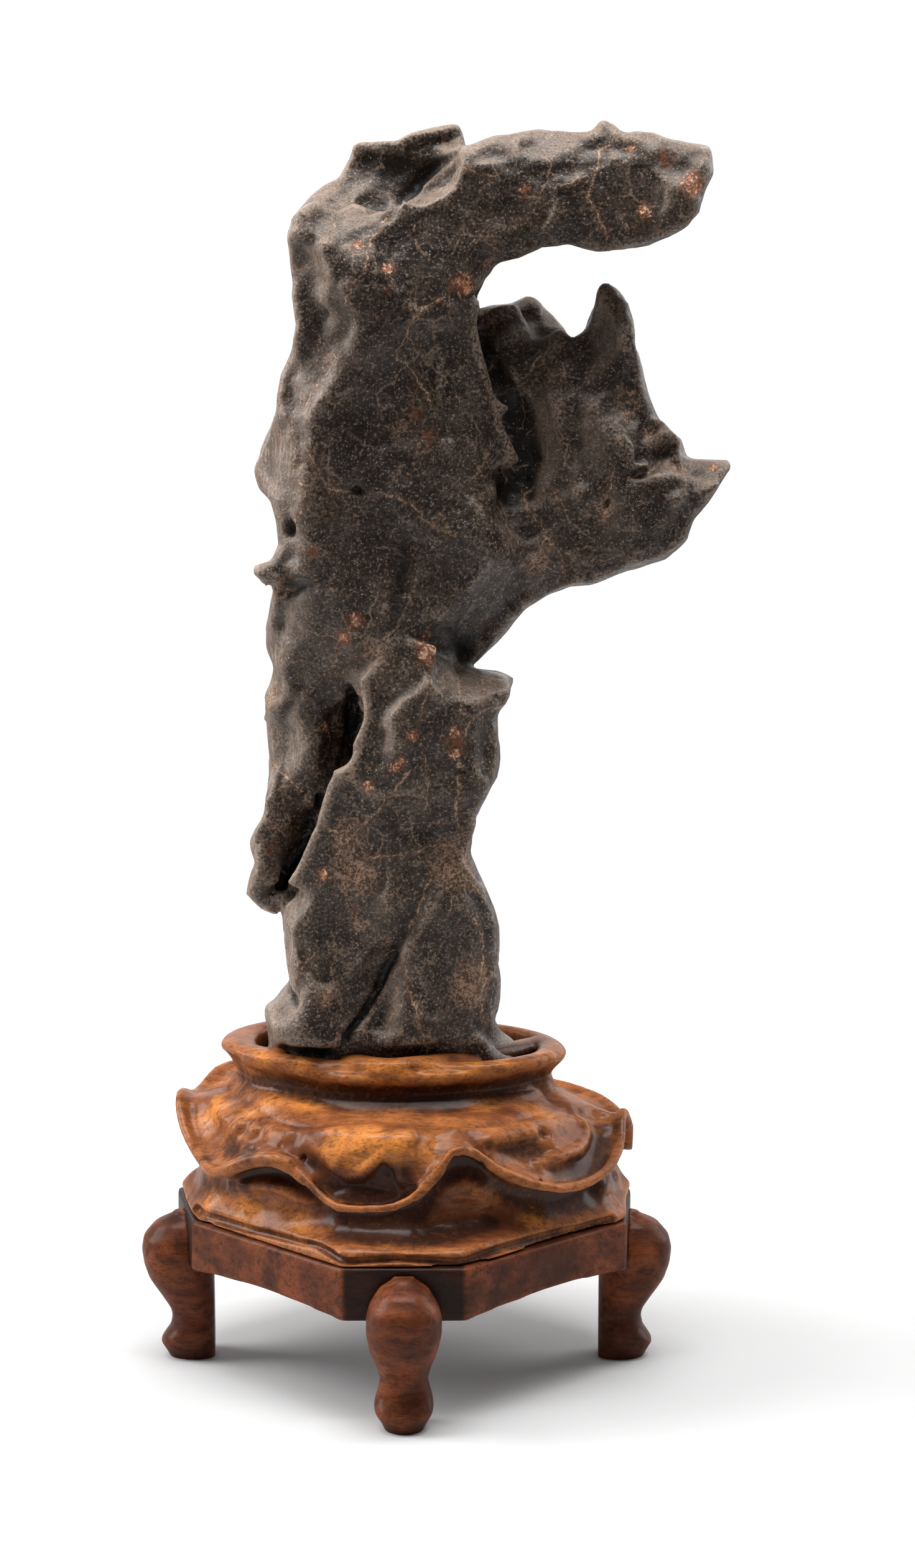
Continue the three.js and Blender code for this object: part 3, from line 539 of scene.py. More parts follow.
EVERYWHERE = -2
SCOOPS = [  # how many, how far apart, radius, depth, and the least that they face backward
    (80, 13, (14, 34), (1.2, 2.8), 0.3),
    (60, 17, (60, 120), (1.2, 2.2), EVERYWHERE),
    (120, 12, (30, 80), (0.8, 1.6), EVERYWHERE),
    (160, 9, (12, 30), (0.3, 0.7), EVERYWHERE),
    (200, 6, (4, 10), (0.25, 0.45), EVERYWHERE),
]
MOST_SCOOPED = 2.0

draw = np.random.default_rng(20)
unscooped = stone.values.copy()
for count, apart, radii, depths, backward in SCOOPS:
    points, _, _ = surface_of(stone)
    points = points[outward_at(stone, points)[:, 1] > backward]
    taken = np.empty((0, 3))
    for place in points[draw.permutation(len(points))]:
        if len(taken) == 0 or np.min(np.sum((taken - place) ** 2, 1)) > apart**2:
            taken = np.vstack([taken, place])
            if len(taken) == count:
                break
    for place, outward in zip(taken, outward_at(stone, taken)):
        scoop(stone, place, outward, draw.uniform(*radii), draw.uniform(*depths))
    print(len(taken), "scoops of radius", radii)
stone.values = np.minimum(stone.values, unscooped + MOST_SCOOPED)

# %% [markdown]
# ## Tips and outline
#
# The blur and the scoops both blunt what is thin, so the spire, the beak, the horn and the other
# tips are put back now, as tapering chains. Then the whole is trimmed to the outline that was
# followed round the stone in the photograph.

# %% Put the tips back, as chains of [x, y, z, radius]
STONE_TIPS = {
    "tip on the arm": [(59, -2, 388, 2), (60, 0, 390, 1.2)],
    "rear peak": [(-12, 10, 383, 2), (-2, 12, 383, 2), (6, 14, 386, 2), (15, 15, 388, 1.5)],
    "spire": [(63, -4, 340, 1.2), (65, -6, 333, 2), (67, -7, 325, 3)],
    "saddle": [(24, 15, 328, 5), (34, 15, 329, 5.5), (42, 14, 327, 5), (50, 10, 322, 4)],
    "dent by the notch": [(-13, -6, 361, 7), (-8, -4, 361, 7)],
    "saddle peak": [(28, 17, 334, 2), (37, 17, 335, 2.2), (44, 16, 331, 2)],
    "beak": [(88, -3, 285, 3), (95, -3, 286, 2.2), (99, -3, 287, 1.2)],
    "upper tooth": [(24, -21, 312, 2.5), (31, -20, 306, 1.2)],
    "lower tooth": [(26, -20, 296, 3), (33, -19, 290, 1.4)],
    "horn": [(-24, -20, 256, 3), (-33, -18, 257, 3), (-40, -17, 257, 2.2), (-45, -16, 256.5, 1.6)],
    "horn barb": [(-38, -16, 256, 1.8), (-41, -15, 252.5, 1.4)],
    "hanging tip": [(-47, 8, 152, 2.5), (-42, 8, 145, 3)],
}
for tip in STONE_TIPS.values():
    add(stone, tip)
print(len(STONE_TIPS), "tips put back")

# %% Trim the stone to its outline, in pixels of the photograph
STONE_OUTLINE = [
    (441, 640), (446, 622), (447, 610), (452, 595), (461, 579), (467, 564), (470, 544), (475, 521),
    (470, 503), (466, 476), (467, 453), (465, 433), (465, 410), (462, 387), (463, 377), (468, 364),
    (468, 357), (475, 344), (486, 332), (501, 315), (521, 299), (542, 288), (548, 281), (561, 258),
    (566, 248), (569, 237), (578, 231), (590, 230), (620, 232), (638, 231), (650, 221), (663, 214),
    (686, 207), (708, 202), (726, 199), (737, 201), (744, 212), (746, 224), (749, 240), (761, 234),
    (780, 226), (794, 222), (820, 220), (841, 215), (877, 210), (914, 213), (949, 211), (959, 204),
    (964, 195), (973, 195), (984, 199), (999, 210), (1014, 212), (1021, 209), (1051, 212), (1075, 222),
    (1109, 229), (1139, 234), (1144, 246), (1147, 277), (1134, 306), (1124, 342), (1105, 364),
    (1076, 380), (1043, 394), (1010, 400), (960, 404), (938, 399), (914, 392), (877, 399), (854, 408),
    (838, 419), (801, 426), (793, 435), (779, 450), (767, 483), (771, 492), (798, 489), (821, 487),
    (849, 475), (859, 480), (882, 501), (907, 524), (917, 545), (935, 534), (940, 519), (947, 498),
    (956, 486), (961, 459), (970, 454), (997, 464), (1008, 477), (1019, 521), (1016, 549), (1026, 572),
    (1041, 625), (1057, 668), (1079, 694), (1097, 705), (1104, 733), (1118, 737), (1172, 739),
    (1175, 752), (1159, 776), (1140, 808), (1114, 836), (1103, 868), (1070, 897), (1025, 912), (994, 923),
    (951, 940), (915, 943), (882, 957), (845, 980), (812, 1020), (774, 1058), (758, 1072), (799, 1077),
    (825, 1090), (827, 1103), (818, 1130), (802, 1149), (805, 1199), (799, 1252), (782, 1290),
    (764, 1315), (768, 1323), (754, 1368), (770, 1406), (796, 1462), (804, 1492), (804, 1540),
    (808, 1607), (799, 1638), (812, 1662), (836, 1677), (900, 1700), (900, 1950), (350, 1950),
    (380, 1700), (431, 1680), (426, 1626), (429, 1612), (440, 1608), (465, 1576), (458, 1549),
    (455, 1479), (452, 1459), (443, 1469), (420, 1459), (396, 1437), (400, 1414), (410, 1386),
    (399, 1350), (408, 1334), (424, 1305), (425, 1257), (432, 1214), (423, 1176), (425, 1116),
    (441, 1072), (429, 1042), (428, 1006), (440, 950), (440, 935), (427, 941), (408, 920), (409, 910),
    (437, 900), (448, 875), (443, 837), (435, 807), (414, 784), (407, 759), (414, 721), (432, 682),
    (443, 663),
]
trim_to(stone, STONE_OUTLINE)

# %% [markdown]
# ## Dishes, crests and cracks
#
# The face of the stone follows, from broad to fine: first the dished faces, pressed with large
# balls, then the crests between them, and last the cracks and holes, which are thin and deep.

# %% Dish the broad faces: [u, v, radius, depth]
STONE_DISHES = {
    "rear face": [(585, 268, 12, 1.5), (625, 282, 15, 3), (670, 290), (705, 280, 9, 2)],
    "slope on the arm": [(800, 226, 20, 0.4), (860, 238, 20, 0.6), (910, 236, 16, 0.4)],
    "left facet": [(482, 440, 14, 0.8), (490, 500, 16, 1.2), (495, 560, 14, 1)],
    "left of the shoulder": [(540, 360, 14, 1.2), (545, 430, 16)],
    "thumb mark": [(513, 368, 3, 0.6), (505, 390, 3.5, 1)],
    "saddle, left": [(790, 515, 9, 1.4), (825, 510, 10)],
    "saddle, right": [(885, 512, 7, 1)],
    "crag, under the spire": [(960, 580, 28, 1.2)],
    "crag, middle": [(990, 640, 20, 1.2)],
    "crag, beside the sheet": [(875, 600, 12, 1.6), (868, 660, 14, 2), (880, 730, 14, 1.6)],
    "crag, small dish": [(1008, 652, 7, 1)],
    "crag, over the crack": [(1032, 700, 8, 0.8), (1062, 715, 7, 1)],
    "crag, lower": [(1040, 815, 25, 1.1)],
    "crag, lowest": [(940, 860, 25, 1.2)],
    "beak, under": [(1078, 832, 12, 1.2), (1052, 868)],
    "slab, upper": [(600, 690, 40, 1.2)],
    "slab, right": [(700, 760, 30, 1)],
    "slab, lower": [(560, 880, 40, 1.2)],
    "slab, foot": [(720, 950, 22, 2)],
    "slab, under the arm": [(700, 560, 30, 1.2)],
    "small hollow": [(660, 862, 7, 0.7), (675, 876, 8, 0.9)],
    "beside the pit": [(535, 1120, 12, 0.8), (540, 1160, 10, 1.2), (530, 1200)],
    "left flank": [(455, 1180, 14, 1)],
    "lower left flank": [(450, 1300, 16, 1.2)],
    "column, upper": [(650, 1160, 35, 1)],
    "column, left": [(620, 1290, 30, 1)],
    "column, right": [(710, 1300, 30, 1)],
    "column, lower left": [(560, 1480, 30, 1.2)],
    "column, lower right": [(730, 1490, 25, 1)],
    "over the crevice": [(625, 1530, 8, 1.4), (600, 1570, 7)],
}
for dish in STONE_DISHES.values():
    carve(stone, dish, blend=1.6)
print(len(STONE_DISHES), "dishes")

# %% Raise the crests: [u, v, radius, height]
STONE_CRESTS = {
    "rear peak": [
        (569, 236, 1.5, 0.4), (595, 241), (619, 235), (643, 245, 2, 0.5), (663, 252), (692, 258),
        (718, 257, 2, 0.4), (736, 250, 1.5, 0.3),
    ],
    "shoulder": [
        (748, 240, 1.5, 0.5), (736, 253, 2, 0.7), (713, 271), (686, 291, 2, 0.8), (675, 309), (654, 324),
        (635, 338, 1.6, 0.7),
    ],
    "arm": [
        (757, 248, 2, 0.4), (778, 242, 2, 0.5), (799, 237, 2, 0.7), (813, 243), (831, 250), (851, 257),
        (878, 261), (898, 256), (922, 243), (940, 230), (963, 224, 2, 0.5), (989, 224), (1007, 224),
        (1022, 230), (1042, 239), (1060, 247), (1092, 254, 2, 0.4),
    ],
    "left shoulder": [(531, 321, 1.5, 0.4), (507, 338, 1.5, 0.5), (487, 347), (470, 356, 1.2, 0.4)],
    "saddle, fold": [(860, 488, 1.5, 0.4), (861, 507), (862, 527)],
    "saddle, rim": [(771, 541, 1.5, 0.4), (799, 547), (828, 541), (857, 530), (887, 538), (904, 547)],
    "spire, left": [
        (972, 462, 1, 0.3), (957, 494, 1.5, 0.5), (942, 526), (932, 541, 1.5, 0.4), (934, 561),
        (922, 582, 1.5, 0.5), (904, 602), (890, 621, 1.5, 0.4), (888, 646, 1.2, 0.3), (898, 678),
    ],
    "spire, right": [
        (972, 462, 1, 0.3), (975, 473, 1.5, 0.5), (984, 491), (992, 511), (1001, 532, 2), (1019, 558),
    ],
    "crag, fold": [(893, 550, 1.2, 0.3), (869, 573), (852, 597)],
    "crag, step": [(947, 688, 2, 0.5), (950, 704, 2, 0.6), (944, 739), (931, 767), (925, 796, 1.5, 0.4)],
    "beak": [
        (1059, 747, 1.5, 0.4), (1078, 764, 2, 0.6), (1100, 778, 2, 0.7), (1085, 808, 2, 0.6), (1059, 847),
        (1037, 879, 2, 0.5), (1018, 898, 1.5, 0.3),
    ],
    "torn sheet, upper": [
        (763, 495, 1.2, 0.3), (763, 526), (768, 556, 1.4), (779, 583, 1.5, 0.4), (787, 617),
        (791, 635, 1.2, 0.3), (806, 654, 1),
    ],
    "torn sheet, lower": [(801, 682, 1.2, 0.3), (812, 712), (822, 736)],
    "column, top": [
        (628, 1051, 1.2, 0.3), (628, 1028, 1.5, 0.5), (645, 1017), (666, 1018), (690, 1022), (710, 1032),
        (722, 1050), (732, 1069),
    ],
    "column, left edge": [
        (612, 1060, 1.5, 0.3), (588, 1078, 1.5, 0.4), (580, 1093), (585, 1111, 1.5, 0.5), (588, 1132),
        (585, 1156), (576, 1186), (573, 1210), (567, 1225), (549, 1243), (534, 1264), (525, 1288),
        (516, 1312), (510, 1330), (498, 1354), (486, 1387), (471, 1420),
    ],
    "horn, rim": [
        (446, 893, 1.2, 0.3), (466, 880, 1.5, 0.5), (487, 880), (513, 886), (533, 905, 1.5, 0.4),
        (535, 922, 1.2, 0.3),
    ],
    "horn, ridge": [(414, 910, 1, 0.3), (437, 912, 1.5, 0.4), (460, 916), (480, 912)],
    "left step": [
        (470, 705, 1.5, 0.4), (475, 732, 1.5, 0.5), (470, 761, 1.5, 0.4), (484, 773, 1.2, 0.3),
        (493, 787, 1.5, 0.5), (491, 802), (481, 822), (475, 840, 1.2, 0.4),
    ],
    "left kink": [(445, 1104, 1.5, 0.4), (450, 1099), (470, 1108), (489, 1117)],
    "slit's lip": [(492, 1264, 1.2, 0.3), (501, 1288, 1.5, 0.4), (508, 1305, 1.2, 0.3)],
    "lump at the foot": [(652, 1610, 5, 0.5), (640, 1650, 6, 0.7)],
    "diagonal of the column": [
        (748, 1374, 1.5, 0.3), (726, 1396, 2, 0.6), (706, 1432, 2, 0.7), (684, 1476, 2, 0.8), (664, 1516),
        (642, 1556), (622, 1590, 2, 0.7), (598, 1624), (580, 1658, 1.5, 0.4),
    ],
    "arm, upper slope": [(780, 233, 12, 0.5), (820, 236, 12, 0.6), (860, 238), (905, 234, 12, 0.5)],
    "spur": [(465, 1582, 1.5, 0.3), (450, 1596, 1.5, 0.4), (429, 1612, 1.2, 0.3)],
    "flare": [(801, 1648, 1.5, 0.3), (819, 1663, 1.5, 0.4), (834, 1672)],
    "slab, crest": [
        (613, 732, 1.5, 0.3), (641, 724, 1.5, 0.5), (669, 717, 1.5, 0.6), (700, 714, 1.5, 0.5),
        (722, 714, 1.2, 0.3),
    ],
    "slab, branch": [(722, 714, 1.2, 0.3), (698, 743, 1.5, 0.5), (686, 761, 1.2, 0.3)],
    "slab, underside": [(850, 960, 1.2, 0.3), (820, 984, 1.5, 0.4), (788, 1019)],
}
for crest in STONE_CRESTS.values():
    build_up(stone, crest, blend=2.5)
print(len(STONE_CRESTS), "crests")

# %% Cut the cracks and holes: [u, v, radius, depth]
STONE_CRACKS = {
    "behind the shoulder": [
        (735, 247, 1.5, 1), (706, 263, 2, 2), (678, 284, 2.5, 2.5), (663, 304), (644, 319, 2, 2),
        (627, 336, 1.5, 1.5),
    ],
    "notch of the shoulder": [(633, 339, 1.4, 1.2), (622, 348, 1.8, 1.8), (616, 358, 1, 0.8)],
    "behind the torn sheet": [
        (800, 590, 4, 1), (822, 640, 6, 1.5), (838, 690, 7, 1.8), (848, 735), (838, 765, 4, 1.2),
    ],
    "crag": [
        (1017, 764, 1.2, 1.5), (1030, 761, 1.6, 2.5), (1046, 756, 1.4, 2), (1060, 742, 1, 1.2),
        (1072, 720, 0.8, 0.8),
    ],
    "pinhole in the crag": [(976, 806, 0.9, 2), (973, 816, 0.7, 1.5)],
    "pinhole in the beak": [(1118, 759, 0.8, 1.2)],
    "eye": [(574, 789, 1.3, 2.2), (578, 795, 1, 1.5)],
    "hole in the left side": [(467, 844, 1.5, 2.5), (466, 856, 1.3, 2)],
    "crease": [
        (628, 864, 0.6, 0.5), (630, 899, 0.8, 1), (627, 937), (630, 966, 0.7, 0.8), (633, 998),
        (637, 1012, 0.6, 0.5),
    ],
    "trough beside the crease": [
        (650, 880, 4, 0.8), (652, 910, 4.5, 1.5), (650, 940, 4, 1.6), (644, 965, 2.5, 1),
    ],
    "under the horn": [(432, 944, 1.5, 1), (462, 952, 2, 1.6), (495, 940, 1.5, 1), (520, 935, 1, 0.6)],
    "pit": [
        (562, 1105, 1.2, 1), (568, 1128, 2, 2), (566, 1150, 2.2, 2.2), (560, 1180, 1.4, 1.6),
        (552, 1210, 1, 1.2), (543, 1240, 0.8, 0.8),
    ],
    "small hole": [(489, 1273, 1.1, 1.6)],
    "upper slit": [(514, 1280, 1.5, 2), (515, 1294, 1.5, 2.5), (508, 1307, 1, 1.2)],
    "lower slit": [
        (499, 1325, 0.9, 1.2), (490, 1345, 1.3, 3), (478, 1370, 1.8, 5), (466, 1395, 2.2, 6),
        (453, 1425, 2.4, 7),
    ],
    "crevice at the foot": [
        (690, 1420, 1.6, 0.5), (668, 1460, 1.6, 0.8), (648, 1500, 1.5, 1), (632, 1535, 1.2, 1.2),
        (618, 1560, 1, 1.5), (610, 1582, 1, 1.9), (600, 1602, 1, 2), (588, 1622, 1.1, 2.2),
        (574, 1642, 1.2, 2.4), (558, 1664, 1.3), (552, 1680),
    ],
    "notch at the foot": [(465, 1580, 1, 1), (473, 1606, 1.4, 1.6), (476, 1618, 1, 1)],
    "pinholes in the column": [(742, 1240, 0.9, 1.2)],
    "crack in the arm": [(974, 378, 0.7, 0.7), (973, 390, 0.9, 1.4), (971, 401, 1, 1.5)],
}
for crack in STONE_CRACKS.values():
    carve(stone, crack, blend=0.8)
print(len(STONE_CRACKS), "cracks")

# %% [markdown]
# ## Parts with an edge of their own
#
# A torn sheet hangs in front of the dark wall, and the column's left side ends in a sharp edge over
# a pit. A ridge would be too round for either, so they are plates. They come after the cracks,
# which would cut the teeth of the sheet off.

# %% Add the plates: outline, marks on the face, thickness
STONE_PLATES = {
    "torn sheet": (
        [
            (700, 480), (768, 484), (765, 526), (771, 555), (782, 592), (788, 614), (793, 633),
            (804, 648), (818, 655), (811, 663), (806, 673), (809, 684), (817, 704), (826, 723),
            (833, 738), (829, 745), (804, 747), (780, 770), (700, 780),
        ],
        [(690, 500), (740, 520), (700, 600), (745, 620), (710, 700), (750, 700), (740, 760), (700, 760)],
        5.0,
    ),
    "column, upper left": (
        [
            (700, 1040), (633, 1018), (628, 1054), (612, 1060), (588, 1081), (579, 1093), (582, 1117),
            (586, 1135), (585, 1156), (577, 1177), (570, 1195), (569, 1214), (558, 1234), (543, 1243),
            (600, 1280), (680, 1280),
        ],
        [(640, 1080), (690, 1100), (630, 1160), (700, 1180), (620, 1240), (690, 1250)],
        8.0,
    ),
    "column, lower left": (
        [
            (620, 1225), (558, 1234), (543, 1243), (531, 1261), (523, 1285), (517, 1303), (511, 1327),
            (501, 1345), (489, 1372), (477, 1399), (466, 1418), (520, 1450), (620, 1420),
        ],
        [(590, 1260), (620, 1300), (560, 1340), (610, 1380), (540, 1400), (580, 1420)],
        7.0,
    ),
}
for outline, face, thick in STONE_PLATES.values():
    add_plate(stone, outline, face, thick)
print(len(STONE_PLATES), "plates")

# %% [markdown]
# ## The last wear
#
# The smallest forms come all over at once. Sharpening brings out what the tools have left soft, and
# four layers of lumps, from two centimetres down to two millimetres, take the evenness away. Then
# the stone is baked, with two widths of hollow noted for its finish.

# %% Wear the stone at every scale, and bake it
sharpen(stone, width=2.5, share=0.25)
roughen(stone, 5, [[19, 0.4], [8, 0.18], [4, 0.14], [2.4, 0.09]])
bake(stone, "scholar_stone", "stone")
note_relief(stone, hollow=2.0, deep_hollow=5.0)

# %% [markdown]
# ## Veins and crystals
#
# Light veins run over the stone where cracks once filled with calcite, and rusty crystals sit beside
# them. A vein is thinner than the triangles are wide, so it can't be painted on the vertices. But a
# distance can: it changes evenly over a triangle, so the material finds the hair-thin line where it
# is nought. The same goes for a crystal, whose vertices note the way to its middle.


# %% Note the distance to lines and to spots
LINE_REACH, LINE_DEPTH, SPOT_REACH = 4.0, 12, 9.0


def note_lines(clay, name, lines):
    """Notes how far each vertex lies beside the nearest line, with a sign, and away from it."""
    points = clay.points
    order = np.argsort(points[:, 2])
    heights = points[order, 2]
    outward = outward_at(clay, points)
    beside, away = np.full(len(points), LINE_REACH), np.full(len(points), LINE_REACH)
    width = np.zeros(len(points))
    for thickness, marks in lines:
        places = seen_at(clay, np.array(marks, float))
        for a, b in zip(places, places[1:]):
            low, high = min(a[2], b[2]) - LINE_REACH, max(a[2], b[2]) + LINE_REACH
            first, last = np.searchsorted(heights, [low, high])
            rows = order[first:last]
            rows = rows[np.abs(points[rows, 1] - (a[1] + b[1]) / 2) < LINE_DEPTH]
            span, start = b - a, points[rows] - a
            along = np.clip(start @ span / (span @ span), 0, 1)[:, None]
            offset = start - along * span
            distance = np.linalg.norm(offset, axis=1)
            side = np.sum(np.cross(span, outward[rows]) * offset, 1)
            closer = distance < away[rows]
            rows, distance, side = rows[closer], distance[closer], side[closer]
            away[rows] = distance
            beside[rows] = np.where(side < 0, -distance, distance)
            width[rows] = thickness
    note(clay, name + "_beside", beside)
    note(clay, name + "_away", away)
    note(clay, name + "_width", width)
    print(len(lines), name, "lines")


def note_spots(clay, name, spots):
    """Notes the way from the nearest spot's middle, and how far each vertex lies outside it."""
    middles = seen_at(clay, np.array([spot[:2] for spot in spots], float))
    way = np.full((len(clay.points), 3), SPOT_REACH)
    outside = np.full(len(clay.points), SPOT_REACH)
    for middle, (_, _, radius) in zip(middles, spots):
        offset = clay.points - middle
        distance = np.linalg.norm(offset, axis=1) - radius
        closer = distance < outside
        outside[closer] = distance[closer]
        way[closer] = offset[closer] / radius
    note(clay, name + "_outside", outside)
    note(clay, name + "_way", way, "FLOAT_VECTOR", "vector")
    print(len(spots), name, "spots")


# %% Note the veins: thickness in millimetres, and pixels of the photograph
STONE_VEINS = [
    (0.5, [
        (622, 347), (610, 368), (595, 388), (589, 403), (588, 423), (584, 441), (566, 456), (563, 467),
        (556, 482),
    ]),
    (0.3, [(531, 321), (534, 350), (537, 362)]),
    (0.55, [
        (707, 482), (683, 494), (666, 506), (661, 523), (651, 544), (639, 564), (639, 576), (654, 585),
        (667, 599), (677, 617), (689, 638),
    ]),
    (0.6, [(526, 579), (529, 594), (519, 611), (504, 623), (498, 641), (491, 655)]),
    (0.3, [(534, 570), (548, 582), (578, 591)]),
    (0.3, [(738, 253), (740, 262), (751, 271), (768, 278), (792, 283)]),
    (0.55, [
        (988, 218), (975, 233), (964, 243), (963, 265), (954, 283), (950, 303), (945, 318), (957, 336),
        (963, 350), (972, 368), (975, 382), (970, 400),
    ]),
    (0.3, [(942, 281), (916, 294), (901, 297)]),
    (0.4, [(468, 676), (471, 696), (475, 714), (474, 732), (469, 758)]),
    (0.4, [(478, 771), (491, 784), (494, 796), (490, 805), (484, 822), (474, 840)]),
    (0.35, [(493, 726), (507, 749), (519, 773), (531, 784), (554, 789), (568, 792)]),
    (0.4, [(616, 795), (639, 800), (657, 808), (672, 820), (680, 834), (701, 846), (722, 858)]),
    (0.35, [(890, 790), (906, 812)]),
    (0.35, [
        (842, 796), (852, 828), (868, 841), (877, 860), (884, 873), (893, 879), (906, 908), (911, 940),
    ]),
    (0.4, [(693, 1060), (693, 1087), (687, 1120), (678, 1141), (672, 1165)]),
    (0.35, [(727, 1057), (736, 1087), (739, 1114), (741, 1141)]),
    (0.3, [(771, 1081), (777, 1105), (780, 1126)]),
    (0.6, [(810, 1135), (789, 1136), (771, 1147), (756, 1159), (747, 1180)]),
    (0.7, [(654, 1243), (630, 1276), (609, 1303), (585, 1324), (564, 1345), (543, 1372)]),
    (0.5, [(513, 1327), (531, 1333), (549, 1348), (555, 1366)]),
    (0.3, [(684, 1225), (685, 1249), (687, 1276), (684, 1303)]),
    (0.5, [(738, 1225), (739, 1246), (738, 1264), (732, 1288), (735, 1315), (741, 1333)]),
    (0.35, [(591, 1378), (645, 1373), (678, 1366), (705, 1357), (723, 1363)]),
    (0.5, [(699, 1399), (687, 1420), (678, 1444), (672, 1468), (660, 1489)]),
    (0.4, [(645, 1543), (654, 1570), (657, 1597), (672, 1624), (672, 1648), (681, 1666), (687, 1690)]),
    (0.5, [(729, 1384), (756, 1420), (774, 1438)]),
    (0.4, [(726, 1447), (720, 1471)]),
    (0.5, [(762, 1477), (774, 1504), (777, 1540), (771, 1582), (777, 1630), (780, 1645)]),
    (0.4, [(504, 1534), (492, 1546), (480, 1564)]),
    (0.6, [(441, 1228), (459, 1249), (471, 1261), (489, 1270), (498, 1288), (510, 1306)]),
    (0.4, [(435, 1322), (456, 1342)]),
    (0.5, [(893, 550), (869, 573), (852, 597)]),
    (0.4, [(1083, 704), (1068, 723), (1059, 745), (1043, 759), (1017, 767)]),
    (0.4, [(986, 758), (982, 783), (973, 806)]),
]
note_lines(stone, "vein", STONE_VEINS)

# %% Note the crystals, rust stains and pale patches: [u, v, radius]
STONE_CRYSTALS = [
    (576, 394, 1.2), (625, 431, 1.6), (746, 453, 2.3), (750, 470, 1.6), (843, 305, 1.2), (1036, 338, 1.8),
    (1112, 297, 3), (1147, 751, 1.2), (551, 1025, 1.4), (572, 998, 2), (692, 1036, 3.4), (683, 1054, 2),
    (522, 1168, 1.2), (663, 1183, 1.3), (592, 1265, 1.5), (645, 1222, 1.1), (633, 1234, 1.1),
    (732, 1177, 1.6), (732, 1213, 1.2), (519, 1405, 1.4), (810, 1135, 1.3), (1013, 239, 1),
]
STONE_RUST = [
    (562, 412, 1.5), (622, 470, 2.5), (669, 359, 1.5), (611, 514, 1.8), (716, 488, 1.8), (485, 426, 2),
    (510, 412, 1.5), (963, 341, 1.5), (972, 368, 2), (1072, 255, 4), (1114, 277, 3), (1060, 368, 2),
    (875, 277, 1.5), (721, 230, 2.5), (670, 668, 3), (692, 705, 3.5), (456, 644, 2), (481, 651, 2),
    (502, 888, 3), (463, 928, 3), (612, 1111, 1.8), (580, 1105, 1.8), (619, 1201, 1.6), (597, 1234, 1.6),
    (438, 1364, 2.5), (571, 1462, 2), (1135, 742, 3), (989, 881, 1.8), (881, 526, 1.8), (732, 1195, 5),
    (551, 1025, 4), (692, 1045, 5), (737, 460, 4.5),
]
STONE_PALE = [
    (781, 517, 5), (1084, 751, 4), (1043, 700, 3), (1017, 643, 3), (1005, 665, 3), (642, 690, 2.5),
    (678, 718, 2.5), (446, 696, 3), (985, 500, 3), (787, 391, 3), (787, 424, 3), (863, 901, 5.5),
    (966, 823, 4.5), (435, 1120, 5), (570, 1405, 7), (576, 1486, 3), (528, 1600, 4), (735, 1387, 9),
    (756, 1400, 6), (759, 1585, 8), (600, 1045, 5), (1112, 297, 4), (449, 949, 4), (560, 1345, 6),
]
note_spots(stone, "crystal", STONE_CRYSTALS)
note_spots(stone, "rust", STONE_RUST)
note_spots(stone, "pale", STONE_PALE)

# %% [markdown]
# ## Painted shade and painted light
#
# The crevices are painted nearly black, as painted shade, and the faces turned to the left are
# painted pale, as painted light from the left, less so on faces turned backward. Both are noted for
# the finish, which frays their edges.

# %% Note the painted shade in the crevices, as strokes of [u, v, radius], and the faces lit from the left
# Painted shade: strokes along the crevices and under the overhangs, to be laid nearly black.
STONE_PAINTED_SHADE = {
    "behind the torn sheet": [
        (776, 530, 1.5), (790, 580, 3), (806, 620, 4), (832, 650, 5), (838, 690), (845, 725),
        (850, 758, 4),
    ],
    "pit": [(562, 1108, 1.2), (568, 1132, 2), (563, 1160), (553, 1195, 1.2), (543, 1222, 0.8)],
    "slit": [
        (512, 1285, 1), (500, 1318, 1.2), (489, 1345, 2), (478, 1370, 3), (466, 1395, 3.5), (452, 1430),
    ],
    "foot": [
        (640, 1545, 0.8), (615, 1560, 1), (610, 1582, 1.4), (600, 1605, 1.8), (582, 1634, 2.2),
        (562, 1660, 2.5),
    ],
    "crease": [(631, 890, 0.8), (641, 920, 2.5), (641, 955), (636, 990, 1)],
    "behind the shoulder": [
        (735, 247, 1), (700, 268, 2.5), (672, 290, 3), (655, 310, 2), (630, 336, 1.2),
    ],
    "rear face": [(600, 262, 3.5), (640, 277, 4.5), (680, 282, 3.5)],
    "under the slab": [(770, 985, 2.5), (735, 1000, 3.5), (750, 1040), (700, 1010, 2.5)],
    "under the horn": [(440, 945, 1.2), (470, 952, 1.8), (500, 942, 1.2)],
    "beside the pit": [(520, 1130, 2), (530, 1180, 2.5), (520, 1230, 2)],
}
note_spots(stone, "painted_shade", [spot for path in STONE_PAINTED_SHADE.values() for spot in path_between(path, 10)])
# Painted light from the left: faces turned to the left, less so backward, are noted to be laid pale.
stone_out = outward_at(stone, stone.points, step=3)
leftward, forward = -stone_out[:, 0], 1.2 - 2 * stone_out[:, 1]
note(stone, "faces_left", np.clip(leftward, 0, 1) * np.clip(forward, 0, 1))

# %% [markdown]
# # The stand
#
# ## The carved top
#
# The top is carved from one block, like a root worn smooth: it swells out from the socket in
# shoulders, lobes and folds, and ends in a skirt whose rim is rolled outward all the way round. It is
# made of clay too, in finer cells than the stone, for its carving is crisper. The broad swells and
# hollows come first, as they would with a large gouge.

# %% Carve the broad forms of the top: [u, v, radius, depth or height]
top = clay_from("stand_top", cell=0.65, reach=7.0, soften=1.2)

